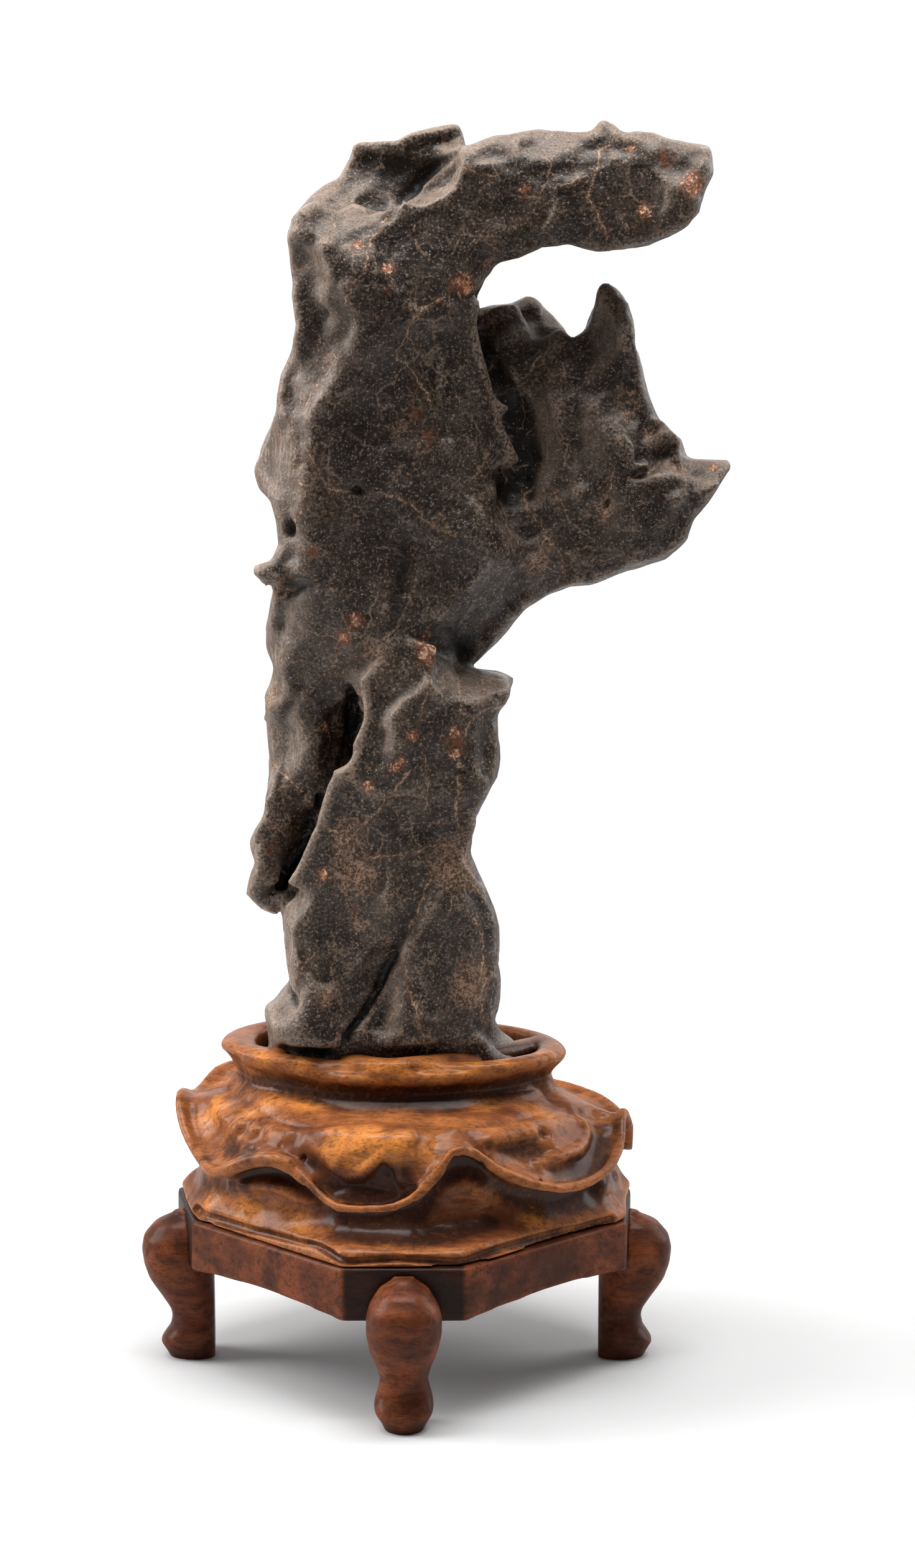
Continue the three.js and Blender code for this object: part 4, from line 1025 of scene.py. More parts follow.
TOP_SWELLS = {
    "shoulder, left": [(420, 1782, 8, 0.6), (490, 1792, 9, 1), (570, 1806, 9, 1.1), (650, 1821, 8, 1)],
    "shoulder, right": [(722, 1804, 8, 0.8), (770, 1795, 8, 1), (820, 1784, 7, 0.8)],
    "swelling over the knobs": [(372, 1787, 6, 1)],
    "back left lobe": [(350, 1716, 2.5, 1.2), (338, 1730), (336, 1745, 2.5, 1)],
    "back right lobe": [
        (901, 1747, 2.5, 1), (928, 1746, 2.5, 1.3), (955, 1746), (972, 1752), (979, 1766, 2, 1),
    ],
    "second fold, right": [
        (1010, 1834, 2, 0.8), (1014, 1850, 2, 1.2), (1004, 1870), (992, 1885), (968, 1902, 2, 0.8),
    ],
    "under the cave": [(735, 1915, 4, 1.2), (752, 1912, 5, 1.8), (772, 1914, 4, 1.2)],
}
for swell in TOP_SWELLS.values():
    build_up(top, swell, blend=5)

TOP_HOLLOWS = {
    "between the shoulders": [(694, 1800, 5, 0.8), (698, 1822, 6, 1.2), (692, 1850, 5, 0.8)],
    "left lobe": [(314, 1790, 5, 0.5), (318, 1812, 6, 0.8), (334, 1834, 6, 1), (362, 1853, 5, 0.8)],
    "dark scoop": [
        (535, 1899, 5, 1.4), (562, 1906, 8, 3.4), (592, 1905, 10, 4.5), (618, 1897, 9, 4.8),
        (636, 1890, 6, 3.2),
    ],
    "left of the hook": [(470, 1872, 5, 1), (505, 1884, 5, 1.4), (530, 1896, 4, 1.2)],
    "crescent pocket": [
        (370, 1895, 1.6, 0.8), (388, 1890, 2, 1.2), (406, 1887, 2.2, 1.6), (440, 1887, 2.4), (465, 1894),
        (488, 1906, 2, 1.4), (507, 1919, 1.5, 0.8),
    ],
    "cave under the crest": [
        (722, 1890, 3, 1.2), (738, 1878, 4.5, 2), (755, 1876, 5, 2.4), (772, 1886, 4.5, 2),
        (790, 1898, 3, 1.2),
    ],
    "under the skirt": [
        (560, 1958, 3, 0.8), (600, 1957, 3.5, 1.2), (640, 1952), (676, 1932), (700, 1908, 3),
    ],
    "under the right skirt": [(810, 1908, 3, 1), (850, 1924, 3.5, 1.2), (900, 1926), (950, 1914, 3, 1)],
    "dish, right": [(812, 1850, 5, 1), (842, 1850, 7, 1.8), (870, 1850, 5, 1)],
    "between the right lobes": [
        (896, 1884, 3, 1), (925, 1880, 3.5, 1.5), (948, 1870, 3.5, 1.6), (960, 1850), (966, 1818, 3, 1),
    ],
    "under the back right lobe": [(920, 1784, 1.5, 0.8), (942, 1792, 1.6, 1), (966, 1792, 1.6, 0.8)],
    "waist": [(420, 1935, 8, 1.2), (500, 1955, 9, 1.4), (600, 1985), (720, 1980), (850, 1955, 8, 1.2)],
    "dent in the rim": [(518, 1707, 3, 0.6), (544, 1710, 4, 1.2), (566, 1712, 3, 0.6)],
    "long dip of the rim": [(600, 1700, 6, 0.8), (640, 1704, 7, 1.4), (690, 1700, 6, 0.8)],
}
for hollow in TOP_HOLLOWS.values():
    carve(top, hollow, blend=3.5)

TOP_NECK = [
    (386, 1728, 6, 0.8), (440, 1741, 7, 1.2), (512, 1755, 9, 1.5), (561, 1763, 9, 1.6), (609, 1767),
    (650, 1766), (687, 1766), (754, 1757, 9, 1.5), (821, 1742, 7, 1.2), (875, 1728, 6, 0.8),
]
carve(top, TOP_NECK, blend=6)
print(len(TOP_SWELLS), "swells and", len(TOP_HOLLOWS), "hollows")

# %% [markdown]
# ## The two rims
#
# The socket's rim and the skirt's edge are lines in space that the photograph shows in full. The
# heights of the socket's rim are known from the solid, so its marks are pixels with a height. The
# skirt's edge is given as points, from the photograph in front and by guess behind. A row of small
# balls along each line makes a rounded rim, and a shallow cove sets the skirt's bead off.

# %% Widen the rim of the socket inward, to its edge at marks [u, v, z]
RIM_EDGE = [
    (430, 1686, 103.6), (465, 1687, 104.4), (495, 1681, 104.6), (525, 1679), (552, 1681), (576, 1690),
    (600, 1697), (636, 1700), (690, 1693), (750, 1687, 104.2), (801, 1679, 103.2), (837, 1672, 101.8),
]
RIM_ROUND = 2.2
RIM_ROWS = (1, 2.2)  # how many of its radii each row of balls lies in from the edge

rim = path_between(RIM_EDGE, 12)
lines = sight_lines(rim)
inner = EYE + lines * ((rim[:, 2:] - EYE[2]) / lines[:, 2:])
outward = inner * (1, 1, 0)
outward /= np.linalg.norm(outward, axis=1, keepdims=True)
for row in RIM_ROWS:
    middles = inner + outward * (row * RIM_ROUND) - (0, 0, RIM_ROUND)
    add(top, np.hstack([middles, np.full((len(inner), 1), RIM_ROUND)]), blend=2)

# %% Roll the edge of the skirt outward: [x, y, z]
SKIRT_EDGE = [
    (-13, -62, 67), (-3, -63, 68), (5, -61, 72), (10, -58, 77), (14.5, -56, 83), (18, -54, 84),
    (22, -52, 82), (28, -51, 77), (37, -48, 71.5), (46, -44, 68.5), (56, -36, 67.5), (64, -25, 69.5),
    (68, -14, 74), (69, -3, 81.5), (71.5, 6, 74), (72.5, 14, 66), (70, 24, 71), (62, 37, 75),
    (46, 48, 77), (30, 54, 76), (18, 58, 73), (4, 62, 68), (-12, 62, 69), (-28, 56, 76), (-46, 47, 84),
    (-60, 35, 86), (-68, 20, 81), (-72, 5, 85), (-71, -6, 79), (-67, -15, 73), (-60, -32, 70),
    (-54, -38, 73.5), (-47, -42, 77), (-40, -46, 78.5), (-33, -50, 75), (-27, -54, 70), (-21, -59, 67),
]
BEAD, BEAD_OUT = 1.0, 0.4
COVE_IN, COVE_UP, COVE_RADIUS, COVE_DEPTH = 6.0, 3.5, 7.0, 0.5


def onto(clay, points):
    """The nearest points on the clay's surface."""
    for _ in range(3):
        points = points - sampled(clay.values, clay, points)[:, None] * outward_at(clay, points)
    return points


edge = path_between(SKIRT_EDGE + SKIRT_EDGE[:1], step=3)
inward = -edge * (1, 1, 0)
inward /= np.linalg.norm(inward, axis=1, keepdims=True)
beads = edge + inward * (BEAD - BEAD_OUT)
add(top, np.hstack([beads, np.full((len(edge), 1), BEAD)]), blend=3)

cove = onto(top, edge + inward * COVE_IN + (0, 0, COVE_UP))
middles = cove + outward_at(top, cove) * (COVE_RADIUS - COVE_DEPTH)
press(top, np.hstack([middles, np.full((len(edge), 1), COVE_RADIUS)]), most=COVE_DEPTH)
print("edge of", len(edge), "points")

# %% [markdown]
# ## Crisp edges, knobs and pits
#
# Small tools come last, as in real carving: a lip under the rim, the hook in the scoop, the edges of
# the pockets, three knobs, and a few pits and worm marks. Sharpening then crisps all of it. Where the
# top meets the board, a dark line wanders along the foot of the carving: a cut, deeper than it is wide.

# %% Cut the crisp edges, knobs and pits
TOP_EDGES = {
    "lip": [
        (382, 1703, 1.2, 0.5), (440, 1715, 1.2, 0.6), (512, 1728), (561, 1736), (609, 1739), (650, 1738),
        (687, 1739), (754, 1730), (821, 1716), (884, 1700, 1.2, 0.5),
    ],
    "hook": [
        (493, 1838, 2, 0.4), (512, 1849, 2, 0.8), (532, 1866, 2.2, 1.1), (548, 1879, 2.2, 1.4),
        (562, 1886, 2, 1.6), (576, 1886, 1.8, 1.8), (588, 1881, 1.6, 1.9), (597, 1871, 1.4),
        (605, 1861, 1.1, 1.7),
    ],
    "wall of the scoop": [(622, 1856, 2, 0.8), (640, 1873, 2, 1.2), (648, 1892, 2, 1)],
    "under the pocket": [
        (372, 1907, 1.2, 0.6), (406, 1906, 1.4, 0.9), (436, 1906, 1.4, 1), (460, 1914),
        (484, 1926, 1.4, 0.9), (505, 1934, 1.2, 0.6),
    ],
    "over the pocket": [
        (366, 1883, 1.2, 0.5), (386, 1872, 1.4, 0.8), (406, 1867, 1.4, 0.9), (440, 1866), (471, 1872),
        (494, 1887, 1.4, 0.8), (512, 1904, 1.2, 0.6),
    ],
    "inner right lobe": [
        (922, 1790, 1.4, 0.4), (938, 1806, 1.8, 0.8), (944, 1821, 1.8, 1), (941, 1836), (930, 1849),
        (911, 1857), (888, 1865, 1.8, 0.9), (866, 1871, 1.6, 0.6),
    ],
    "over the dish": [(781, 1834, 1.6, 0.8), (808, 1831, 1.8, 1.2), (834, 1827), (856, 1822, 1.6, 0.8)],
    "knob": [(383, 1813, 3.2, 2)],
    "small knob": [(409, 1819, 2.2, 1.6)],
    "wide knob": [(441, 1826, 3, 1.3), (457, 1828)],
}
for ridge in TOP_EDGES.values():
    build_up(top, ridge, blend=2.2)

TOP_PITS = {
    "round pit": [(488, 1861, 1.2, 1)],
    "pit by the wide knob": [(449, 1844, 0.8, 0.6)],
    "dent over the dish": [(875, 1821, 3, 1.2)],
    "dent on the right lobe": [(786, 1843, 2.4, 1)],
    "worm marks": [(404, 1846, 0.8, 0.6), (411, 1850), (417, 1846, 0.7, 0.5)],
}
for pit in TOP_PITS.values():
    carve(top, pit, blend=0.6)
sharpen(top, width=2.2, share=0.4)
print(len(TOP_EDGES), "edges and knobs,", len(TOP_PITS), "pits")

# %% Cut the foot line, and bake the top
TOP_FOOT = [
    (297, 1920), (323, 1951), (355, 1961), (400, 1974), (442, 1984), (480, 1994), (512, 2001),
    (551, 2026), (600, 2024), (640, 2022), (700, 2026), (746, 2029), (800, 2008), (830, 1999),
    (880, 1986), (935, 1974), (985, 1961),
]
carve(top, [(u, v, 1.4, 2.4) for u, v in TOP_FOOT], blend=0.4)
roughen(top, 8, [[24, 0.45], [11, 0.1]])
bake(top, "carved_top", "stand_top", flatten=0.012)
note_relief(top, hollow=1.6, deep_hollow=4.0, shade=8.0)

# %% [markdown]
# ## Stains, painted shade and worn places
#
# Old polish and dust darken the hollows, painted shade darkens them and the undersides further, and
# handling wears the high places to gold. The hollows' own numbers would give an even darkening, so
# the strongest stains and painted shade are noted as strokes and spots.

# %% Note the stains with painted shade in the recesses, and the worn places: [u, v, radius]
TOP_STAINS_AND_SHADE = {
    "neck": [
        (392, 1733, 2.5), (450, 1743, 3.5), (512, 1753, 4.5), (561, 1759), (610, 1762), (690, 1761, 5.5),
        (770, 1752, 4.5), (830, 1739, 4), (872, 1727, 3),
    ],
    "scoop": [(545, 1903, 4.5), (578, 1909, 6), (617, 1905, 8), (642, 1898, 5)],
    "pocket": [
        (385, 1889, 2), (412, 1887, 3), (440, 1888, 3.2), (465, 1895, 3), (488, 1907, 2.5),
        (510, 1921, 1.5),
    ],
    "cave": [(718, 1894, 3.5), (737, 1879, 5), (756, 1875, 6), (777, 1889, 5), (795, 1902, 3)],
    "dish": [(815, 1852, 2), (842, 1850, 3.5), (862, 1852, 2)],
    "between the right lobes": [
        (898, 1888, 2.5), (925, 1882, 4), (950, 1870, 4.5), (965, 1845, 4), (975, 1815, 2.5),
    ],
    "under the skirt": [
        (540, 1955, 4), (575, 1961, 5), (610, 1961, 6), (650, 1952), (684, 1930, 5), (706, 1903, 4),
    ],
    "under the right skirt": [
        (800, 1902, 3), (815, 1912, 4), (850, 1927, 5), (905, 1930), (955, 1916, 4), (985, 1890, 3),
    ],
    "under the left lobe": [(330, 1900, 2.5), (360, 1905), (395, 1912, 2)],
    "waist": [(550, 1980, 4), (600, 1985, 5), (660, 1988), (720, 1985), (785, 1965, 3)],
    "inside the socket": [(808, 1690, 3), (835, 1689, 4), (860, 1684, 3)],
    "left lobe": [(365, 1842, 2), (380, 1850, 3.5), (400, 1856, 2.5)],
}
TOP_SPECKS = [
    (330, 1862, 2), (500, 1872, 2.5), (990, 1810, 3), (540, 1711, 1.5), (730, 1700, 1), (470, 1700, 1),
]
TOP_WORN = [
    (590, 1845, 9), (545, 1835, 6), (500, 1770, 7), (440, 1760, 6), (640, 1840, 6), (690, 1850, 5),
    (770, 1770, 6), (400, 1790, 4), (870, 1790, 4), (350, 1780, 5), (330, 1800, 4), (600, 1722, 5),
    (650, 1724, 4), (700, 1722, 5), (750, 1716, 4), (550, 1716, 4), (480, 1708, 4), (420, 1696, 4),
    (810, 1704, 4), (870, 1690, 4), (400, 1950, 6), (340, 1930, 4), (480, 1970, 5), (860, 1960, 5),
]
# The strokes lay stains and painted shade in the recesses and under the skirt. The specks are stains.
stain_and_shade_spots = [spot for path in TOP_STAINS_AND_SHADE.values() for spot in path_between(path)]
foot_line = path_between([(u, v, 0.8) for u, v in TOP_FOOT])
note_spots(top, "stain_and_shade", [*stain_and_shade_spots, *TOP_SPECKS, *foot_line])
note_spots(top, "worn", TOP_WORN)

# %% [markdown]
# ## The board
#
# Under the carving lies a plain board, cut to its outline. Its edge is rubbed slightly round, and
# each long side is cut out in a low arch between its two legs. The faces that the four knees stand
# against are painted darker, as painted shade.

# %% Make the board
ARCH_FOOT, ARCH_HEIGHT = 33.0, 2.4
CORNER_X, CORNER_Y = 74, 68
LONG_SIDE = 0.74  # the share of the way from one leg to the next

board = clay_from("stand_apron", cell=0.8, reach=5.0, soften=0.7)
cells, x, y, z = window(board)
from_middle_of_side = (np.abs(x) / CORNER_X - np.abs(y) / CORNER_Y) / LONG_SIDE
arch = ARCH_FOOT + ARCH_HEIGHT * np.maximum(1 - from_middle_of_side**2, 0) - z
work(board, PRESSED, cells, -arch.astype(np.float32), 0.8)
roughen(board, 9, [[30, 0.3], [9, 0.12]])
bake(board, "board", "stand_apron", flatten=0.01)
note_relief(board, hollow=1.2, deep_hollow=4.0)
# Painted shade: the faces beside the knees are noted darker for the finish.
beside_knee = np.min(np.abs(board.points[:, :2]), axis=1)
note(board, "shade", np.interp(beside_knee, [11, 17.5, 19.5], [6, 4, 0]))

# %% [markdown]
# ## The legs
#
# The four legs are alike: a short cabriole leg with a round knee, a thin ankle and a small foot,
# straight at the back. A carver would saw the two outlines from a square stick and then round the
# corners off. The clay is made the same way: the front and side outlines give the half widths at each
# height, and an ellipse that is a little squarish joins them. The upper part is cut away to stand
# against the board.

# %% Shape the legs
LEG_HEIGHTS = [-2, 0, 2.2, 5.2, 7.5, 10, 13.5, 16, 19.5, 23, 26.5, 31, 36, 40, 44.5, 47.5]
LEG_HALF_WIDTHS = [5.6, 6.0, 6.9, 8.7, 9.2, 8.8, 7.7, 7.4, 8.3, 9.6, 10.7, 11.6, 11.65, 10.6, 7.6, 3]
LEG_FRONTS = [75.4, 75.9, 77.2, 79.0, 77.6, 75.8, 75.1, 75.7, 78, 80.4, 82.6, 84.2, 84.8, 84, 80.3, 74]
LEG_BACK, LEG_TOP = 61.4, 48
SQUARISH = 2.25
SAWN = 0.1  # the leg reaches this far into the board, so that no gap shows
SIDES = {"front": (0, -1), "right": (1, 0), "back": (0, 1), "left": (-1, 0)}


def smooth_profile(values, z):
    """Values between those at the leg's heights, with the corners rounded off."""
    spread = np.array([-0.8, -0.4, 0, 0.4, 0.8])
    return np.mean([np.interp(z + offset, LEG_HEIGHTS, values) for offset in spread], axis=0)


legs = []
for side, (toward_x, toward_y) in SIDES.items():
    leg = clay_from(f"leg_{side}", cell=0.45, reach=4.0)
    _, x, y, z = window(leg)
    out, across = toward_x * x + toward_y * y, toward_y * x - toward_x * y
    half, front = smooth_profile(LEG_HALF_WIDTHS, z), smooth_profile(LEG_FRONTS, z)
    middle, deep = (front + LEG_BACK) / 2, (front - LEG_BACK) / 2
    ring = np.abs(across / half) ** SQUARISH + np.abs((out - middle) / deep) ** SQUARISH
    field = (ring ** (1 / SQUARISH) - 1) * np.minimum(half, deep)
    field = np.maximum(np.maximum(field, -z), z - LEG_TOP).astype(np.float32)
    places = np.stack([axis.ravel() for axis in np.broadcast_arrays(x, y, z)], 1)
    inside_board = -sampled(board.values, board, places).reshape(leg.values.shape)
    leg.values = np.maximum(field, inside_board - SAWN)
    roughen(leg, 30 + len(legs), [[16, 0.35], [6, 0.12]])
    bake(leg, f"cabriole_leg_{side}", f"leg_{side}")
    note_relief(leg, hollow=1.2, deep_hollow=3.0)
    note(leg, "shade", np.interp(leg.points[:, 2], [0, 2.5], [3, 0]))
    legs.append(leg)

# %% [markdown]
# # Finishes
#
# A finish is mixed from short steps, each of which becomes one node of a material. Colours are laid
# over each other, as in a glaze, each where a pattern, a number on the vertices or the lie of the
# surface calls for it. Nothing is painted on a flat picture, so there are no seams.


# %% A way to mix a finish
def linear(red, green, blue):
    """A screen colour from 0 to 255 as light."""
    shares = (colour / 255 for colour in (red, green, blue))
    return [share / 12.92 if share <= 0.0404 else ((share + 0.055) / 1.055) ** 2.4 for share in shares]


class Finish:
    """A material built from short steps. Sizes are in millimetres."""

    def __init__(self, name):
        self.material = bpy.data.materials.new(name)
        self.material.use_nodes = True
        self.tree = self.material.node_tree
        self.shader = self.tree.nodes["Principled BSDF"]
        self.place = self.scaled(self.node("ShaderNodeTexCoord", out="Object"), 1 / MM)

    def fill(self, socket, value):
        if isinstance(value, bpy.types.NodeSocket):
            self.tree.links.new(value, socket)
        else:
            socket.default_value = value

    def node(self, kind, feeds=(), out=0, **settings):
        made = self.tree.nodes.new(kind)
        for name, value in settings.items():
            setattr(made, name, value)
        for name, value in dict(feeds).items():
            self.fill(made.inputs[name], value)
        return made.outputs[out]

    def set(self, **inputs):
        for name, value in inputs.items():
            self.fill(self.shader.inputs[name.replace("_", " ")], value)

    # Places
    def scaled(self, vector, factor):
        return self.node("ShaderNodeVectorMath", {0: vector, "Scale": factor}, operation="SCALE")

    def stretched(self, x, y, z, at=None):
        feeds = {0: at or self.place, 1: (x, y, z)}
        return self.node("ShaderNodeVectorMath", feeds, operation="MULTIPLY")

    def moved(self, at, shift):
        return self.node("ShaderNodeVectorMath", {0: at, 1: shift}, operation="ADD")

    def wander(self, size, reach, at=None):
        """The place, pushed about by noise, so that patterns don't run straight."""
        feeds = {"Vector": at or self.place, "Scale": 1 / size, "Detail": 2.0}
        push = self.node("ShaderNodeTexNoise", feeds, out="Color")
        push = self.moved(push, (-0.5, -0.5, -0.5))
        return self.moved(self.scaled(push, 2 * reach), at or self.place)

    # Patterns and noted numbers
    def noise(self, size, detail=3.0, rough=0.55, at=None):
        feeds = {"Vector": at or self.place, "Scale": 1 / size, "Detail": detail, "Roughness": rough}
        return self.node("ShaderNodeTexNoise", feeds)

    def cells(self, size, at=None, out="Distance", **settings):
        feeds = {"Vector": at or self.place, "Scale": 1 / size}
        return self.node("ShaderNodeTexVoronoi", feeds, out, **settings)

    def read(self, name, out="Fac"):
        return self.node("ShaderNodeAttribute", out=out, attribute_name=name)

    # Sums
    def sum(self, operation, a, b=0.0):
        return self.node("ShaderNodeMath", {0: a, 1: b}, operation=operation)

    def plus(self, *terms):
        total = terms[0]
        for term in terms[1:]:
            total = self.sum("ADD", total, term)
        return total

    def times(self, *factors):
        total = factors[0]
        for factor in factors[1:]:
            total = self.sum("MULTIPLY", total, factor)
        return total

    def step(self, value, low, high, start=0.0, end=1.0):
        """Runs smoothly from start to end as the value goes from low to high."""
        feeds = {"Value": value, "From Min": low, "From Max": high, "To Min": start, "To Max": end}
        return self.node("ShaderNodeMapRange", feeds, interpolation_type="SMOOTHSTEP")

    def swing(self, reach, size, detail, rough):
        """Noise that swings evenly to both sides of nought."""
        return self.times(self.plus(self.noise(size, detail, rough), -0.5), reach)

    def line(self, noise, wide, narrow):
        """A fine line, where a noise passes its middle."""
        return self.step(self.sum("ABSOLUTE", self.plus(noise, -0.5)), wide, narrow)

    # Colour and relief
    def lay(self, share, colour, below=None):
        """Lays a colour over the colour so far, where and as strongly as the share says."""
        feeds = {0: share, 6: (*linear(*below), 1) if below else self.colour, 7: (*linear(*colour), 1)}
        self.colour = self.node("ShaderNodeMix", feeds, out=2, data_type="RGBA")

    def finished(self, relief, strength, **inputs):
        """The material, with a relief in millimetres that shows only in the light."""
        feeds = {"Height": relief, "Distance": MM, "Strength": strength}
        self.set(Base_Color=self.colour, Normal=self.node("ShaderNodeBump", feeds), **inputs)
        return self.material


# %% [markdown]
# ## The finish of the stone
#
# The stone is nearly black, with brown and grey drifting through it and a fine peppering of light
# and dark grains, which is what makes it look like stone from near by. So the ground is mixed from
# noise of several sizes, the finest under a millimetre.

# %% Mix the ground of the stone
mix = Finish("stone_finish")
hollow, deep = mix.read("hollow"), mix.read("deep_hollow")
drift = mix.wander(9, 3)
big, middle = mix.noise(24, 4, at=drift), mix.noise(7, 5, 0.6, at=drift)
small, grain, pepper = mix.noise(1.7, 4, 0.65), mix.noise(0.55, 3, 0.6), mix.noise(0.9, 4, 0.75)

mix.lay(mix.step(big, 0.36, 0.64), (68, 55, 46), below=(42, 33, 28))
mix.lay(mix.step(middle, 0.5, 0.66, 0, 0.5), (98, 83, 73))
mix.lay(mix.step(mix.noise(17, 3, at=drift), 0.54, 0.7, 0, 0.5), (76, 54, 37))
mix.lay(mix.step(middle, 0.46, 0.35, 0, 0.6), (26, 21, 19))
mix.lay(mix.step(small, 0.45, 0.33, 0, 0.75), (18, 15, 13))
mix.lay(mix.step(small, 0.55, 0.68, 0, 0.5), (112, 95, 82))
mix.lay(mix.step(pepper, 0.47, 0.38, 0, 0.9), (13, 11, 10))
mix.lay(mix.step(pepper, 0.56, 0.65, 0, 0.85), (162, 139, 119))

# %% [markdown]
# ## Dust, painted light and painted shade
#
# Upward faces are dusty and painted paler as if lit from above, and faces to the left are painted
# pale in upright streaks, as painted light from the left. Hollows are painted nearly black as
# painted shade, crests are paler, and the noted crevices get frayed painted shade.

# %% Lay the dust, the painted light and the painted shade
# Partly dust and partly painted light from above: upward faces are laid paler.
up = mix.node("ShaderNodeSeparateXYZ", {0: mix.node("ShaderNodeNewGeometry", out="Normal")}, out=2)
mix.lay(mix.times(mix.step(up, 0.4, 0.85), mix.step(grain, 0.36, 0.6, 0.25, 1), 0.62), (150, 132, 118))
streak = mix.step(mix.noise(1.1, 3, 0.6, at=mix.stretched(1, 1, 0.12)), 0.5, 0.66)
# Painted light from the left: faces turned to the left are laid pale, in upright streaks.
left = mix.read("faces_left")
left_light_grain = mix.step(grain, 0.36, 0.6, 0.3, 1)
mix.lay(mix.times(mix.step(left, 0.2, 0.7), left_light_grain, 0.65), (136, 119, 106))
mix.lay(mix.times(streak, mix.step(left, 0.5, 0.9), 0.6), (172, 150, 131))

# Painted shade: hollows, and deep hollows more broadly, are laid nearly black.
mix.lay(mix.step(hollow, 0.1, 0.9, 0, 0.8), (16, 13, 12))
mix.lay(mix.step(deep, 0.6, 2.6, 0, 0.75), (14, 12, 11))
crest = mix.times(mix.step(hollow, -0.2, -0.55), mix.step(pepper, 0.42, 0.56, 0.1, 1))
mix.lay(mix.times(crest, 0.4), (170, 148, 130))
fray = mix.swing(16, 4, 6, 0.75)
# Painted shade in the noted crevices, laid nearly black, with frayed edges.
painted_shade = mix.step(mix.plus(mix.read("painted_shade_outside"), mix.times(fray, 0.35)), 1.5, -1.5)
mix.lay(mix.times(painted_shade, 0.75), (14, 12, 11))

# %% [markdown]
# ## Specks, hairlines and patches
#
# Light specks of two sizes are strewn by a random pattern, one to each cell. Hairlines run where the
# cells of a warped pattern meet, and finer threads where a noise passes its middle. The pale patches
# and rust stains lie where they were noted.

# %% Strew the specks and draw the hairlines
for size, share, reach, light in (0.95, 0.5, 0.28, (162, 142, 124)), (2.3, 0.6, 0.14, (204, 186, 168)):
    speck = mix.step(mix.cells(size, at=mix.wander(1, 0.3)), reach, reach * 0.5)
    picked = mix.node("ShaderNodeSeparateColor", {0: mix.cells(size, out="Color")})
    mix.lay(mix.times(speck, mix.step(picked, share, share + 0.3), 0.7), light)

for size, thick, light in (16, 0.03, (150, 124, 102)), (8, 0.04, (128, 108, 92)):
    web = mix.cells(size, at=mix.wander(7, 3.5), feature="DISTANCE_TO_EDGE")
    shown = mix.step(mix.noise(size * 1.1, 4, 0.6, at=drift), 0.5, 0.6)
    hair = mix.times(mix.step(web, thick, thick * 0.3), shown, mix.step(pepper, 0.4, 0.56, 0.1, 1))
    mix.lay(mix.times(hair, 0.8), light)

# %% Lay the pale patches and the rust, and draw the threads
crackle = mix.line(mix.noise(3.2, 5, 0.6, at=drift), 0.035, 0.008)
pale = mix.step(mix.plus(mix.read("pale_outside"), fray), 1.5, -4)
mix.lay(mix.times(pale, 0.5), (98, 76, 58))
flecks = mix.sum("MAXIMUM", crackle, mix.step(pepper, 0.5, 0.62))
mix.lay(mix.times(pale, flecks, 0.9), (178, 142, 118))
rust = mix.step(mix.plus(mix.read("rust_outside"), mix.times(fray, 0.6)), 0, -2.4)
mix.lay(mix.times(rust, mix.step(small, 0.42, 0.6, 0.1, 0.85)), (118, 66, 38))

for size, wide, shift, light in (15, 0.008, 5, (140, 116, 96)), (6, 0.012, 90, (116, 100, 86)):
    thread = mix.noise(size, 4, 0.6, at=mix.moved(drift, (shift, 0, shift)))
    thread = mix.line(thread, wide, wide * 0.2)
    some = mix.step(mix.noise(size * 1.4, 2, at=mix.moved(mix.place, (0, shift, 0))), 0.54, 0.66)
    mix.lay(mix.times(thread, some, mix.step(small, 0.4, 0.6), 0.7), light)

# %% [markdown]
# ## Veins and crystals
#
# A vein is a crooked line that comes and goes, in a brown border with flecks of its own. A crystal is
# a cluster of orange grains in a rusty stain, some of them white.

# %% Draw the veins
crook = mix.swing(5.5, 3, 6, 0.8)
beside = mix.sum("ABSOLUTE", mix.plus(mix.read("vein_beside"), crook))
near = mix.step(mix.read("vein_away"), 2.8, 1.8)
width = mix.times(mix.read("vein_width"), mix.step(mix.noise(2, 4, 0.7), 0.38, 0.64, 0, 1.2))
broken = mix.step(mix.noise(5, 5, 0.7), 0.4, 0.54, 0.15, 1)
thin = mix.step(mix.plus(beside, mix.times(width, -0.55)), 0.16, -0.04)
border = mix.times(mix.step(beside, 1.9, 0.1), near)
mix.lay(mix.times(border, 0.55), (84, 64, 48))
mix.lay(mix.times(border, mix.step(pepper, 0.53, 0.66), 0.75), (160, 124, 100))
fleck = mix.times(mix.step(pepper, 0.38, 0.54, 0.2, 1), broken)
mix.lay(mix.times(thin, near, fleck), (190, 158, 132))

# %% Set the crystals
far = mix.node("ShaderNodeVectorMath", {0: mix.read("crystal_way", "Vector")}, "Value", operation="LENGTH")
ragged = mix.plus(far, mix.swing(8, 1.7, 5, 0.8))
close = mix.step(mix.read("crystal_outside"), 1.6, 0.8)
crystal = mix.times(mix.step(ragged, 1.15, 0.75), close)
mix.lay(mix.times(mix.step(ragged, 2.2, 1.0), close, 0.6), (104, 62, 38))
mix.lay(mix.times(crystal, mix.step(pepper, 0.35, 0.5, 0.2, 0.9)), (182, 120, 84))
glint = mix.times(mix.step(mix.noise(0.9, 3), 0.52, 0.62), crystal)
mix.lay(mix.times(glint, 0.9), (236, 208, 186))

# %% [markdown]
# ## Gloss and grain
#
# The stone is rubbed, not polished, so its gloss is broad and uneven. The last relief, of tenths of a
# millimetre, is too fine for the mesh and goes into the finish: grain, chips and the crystals.

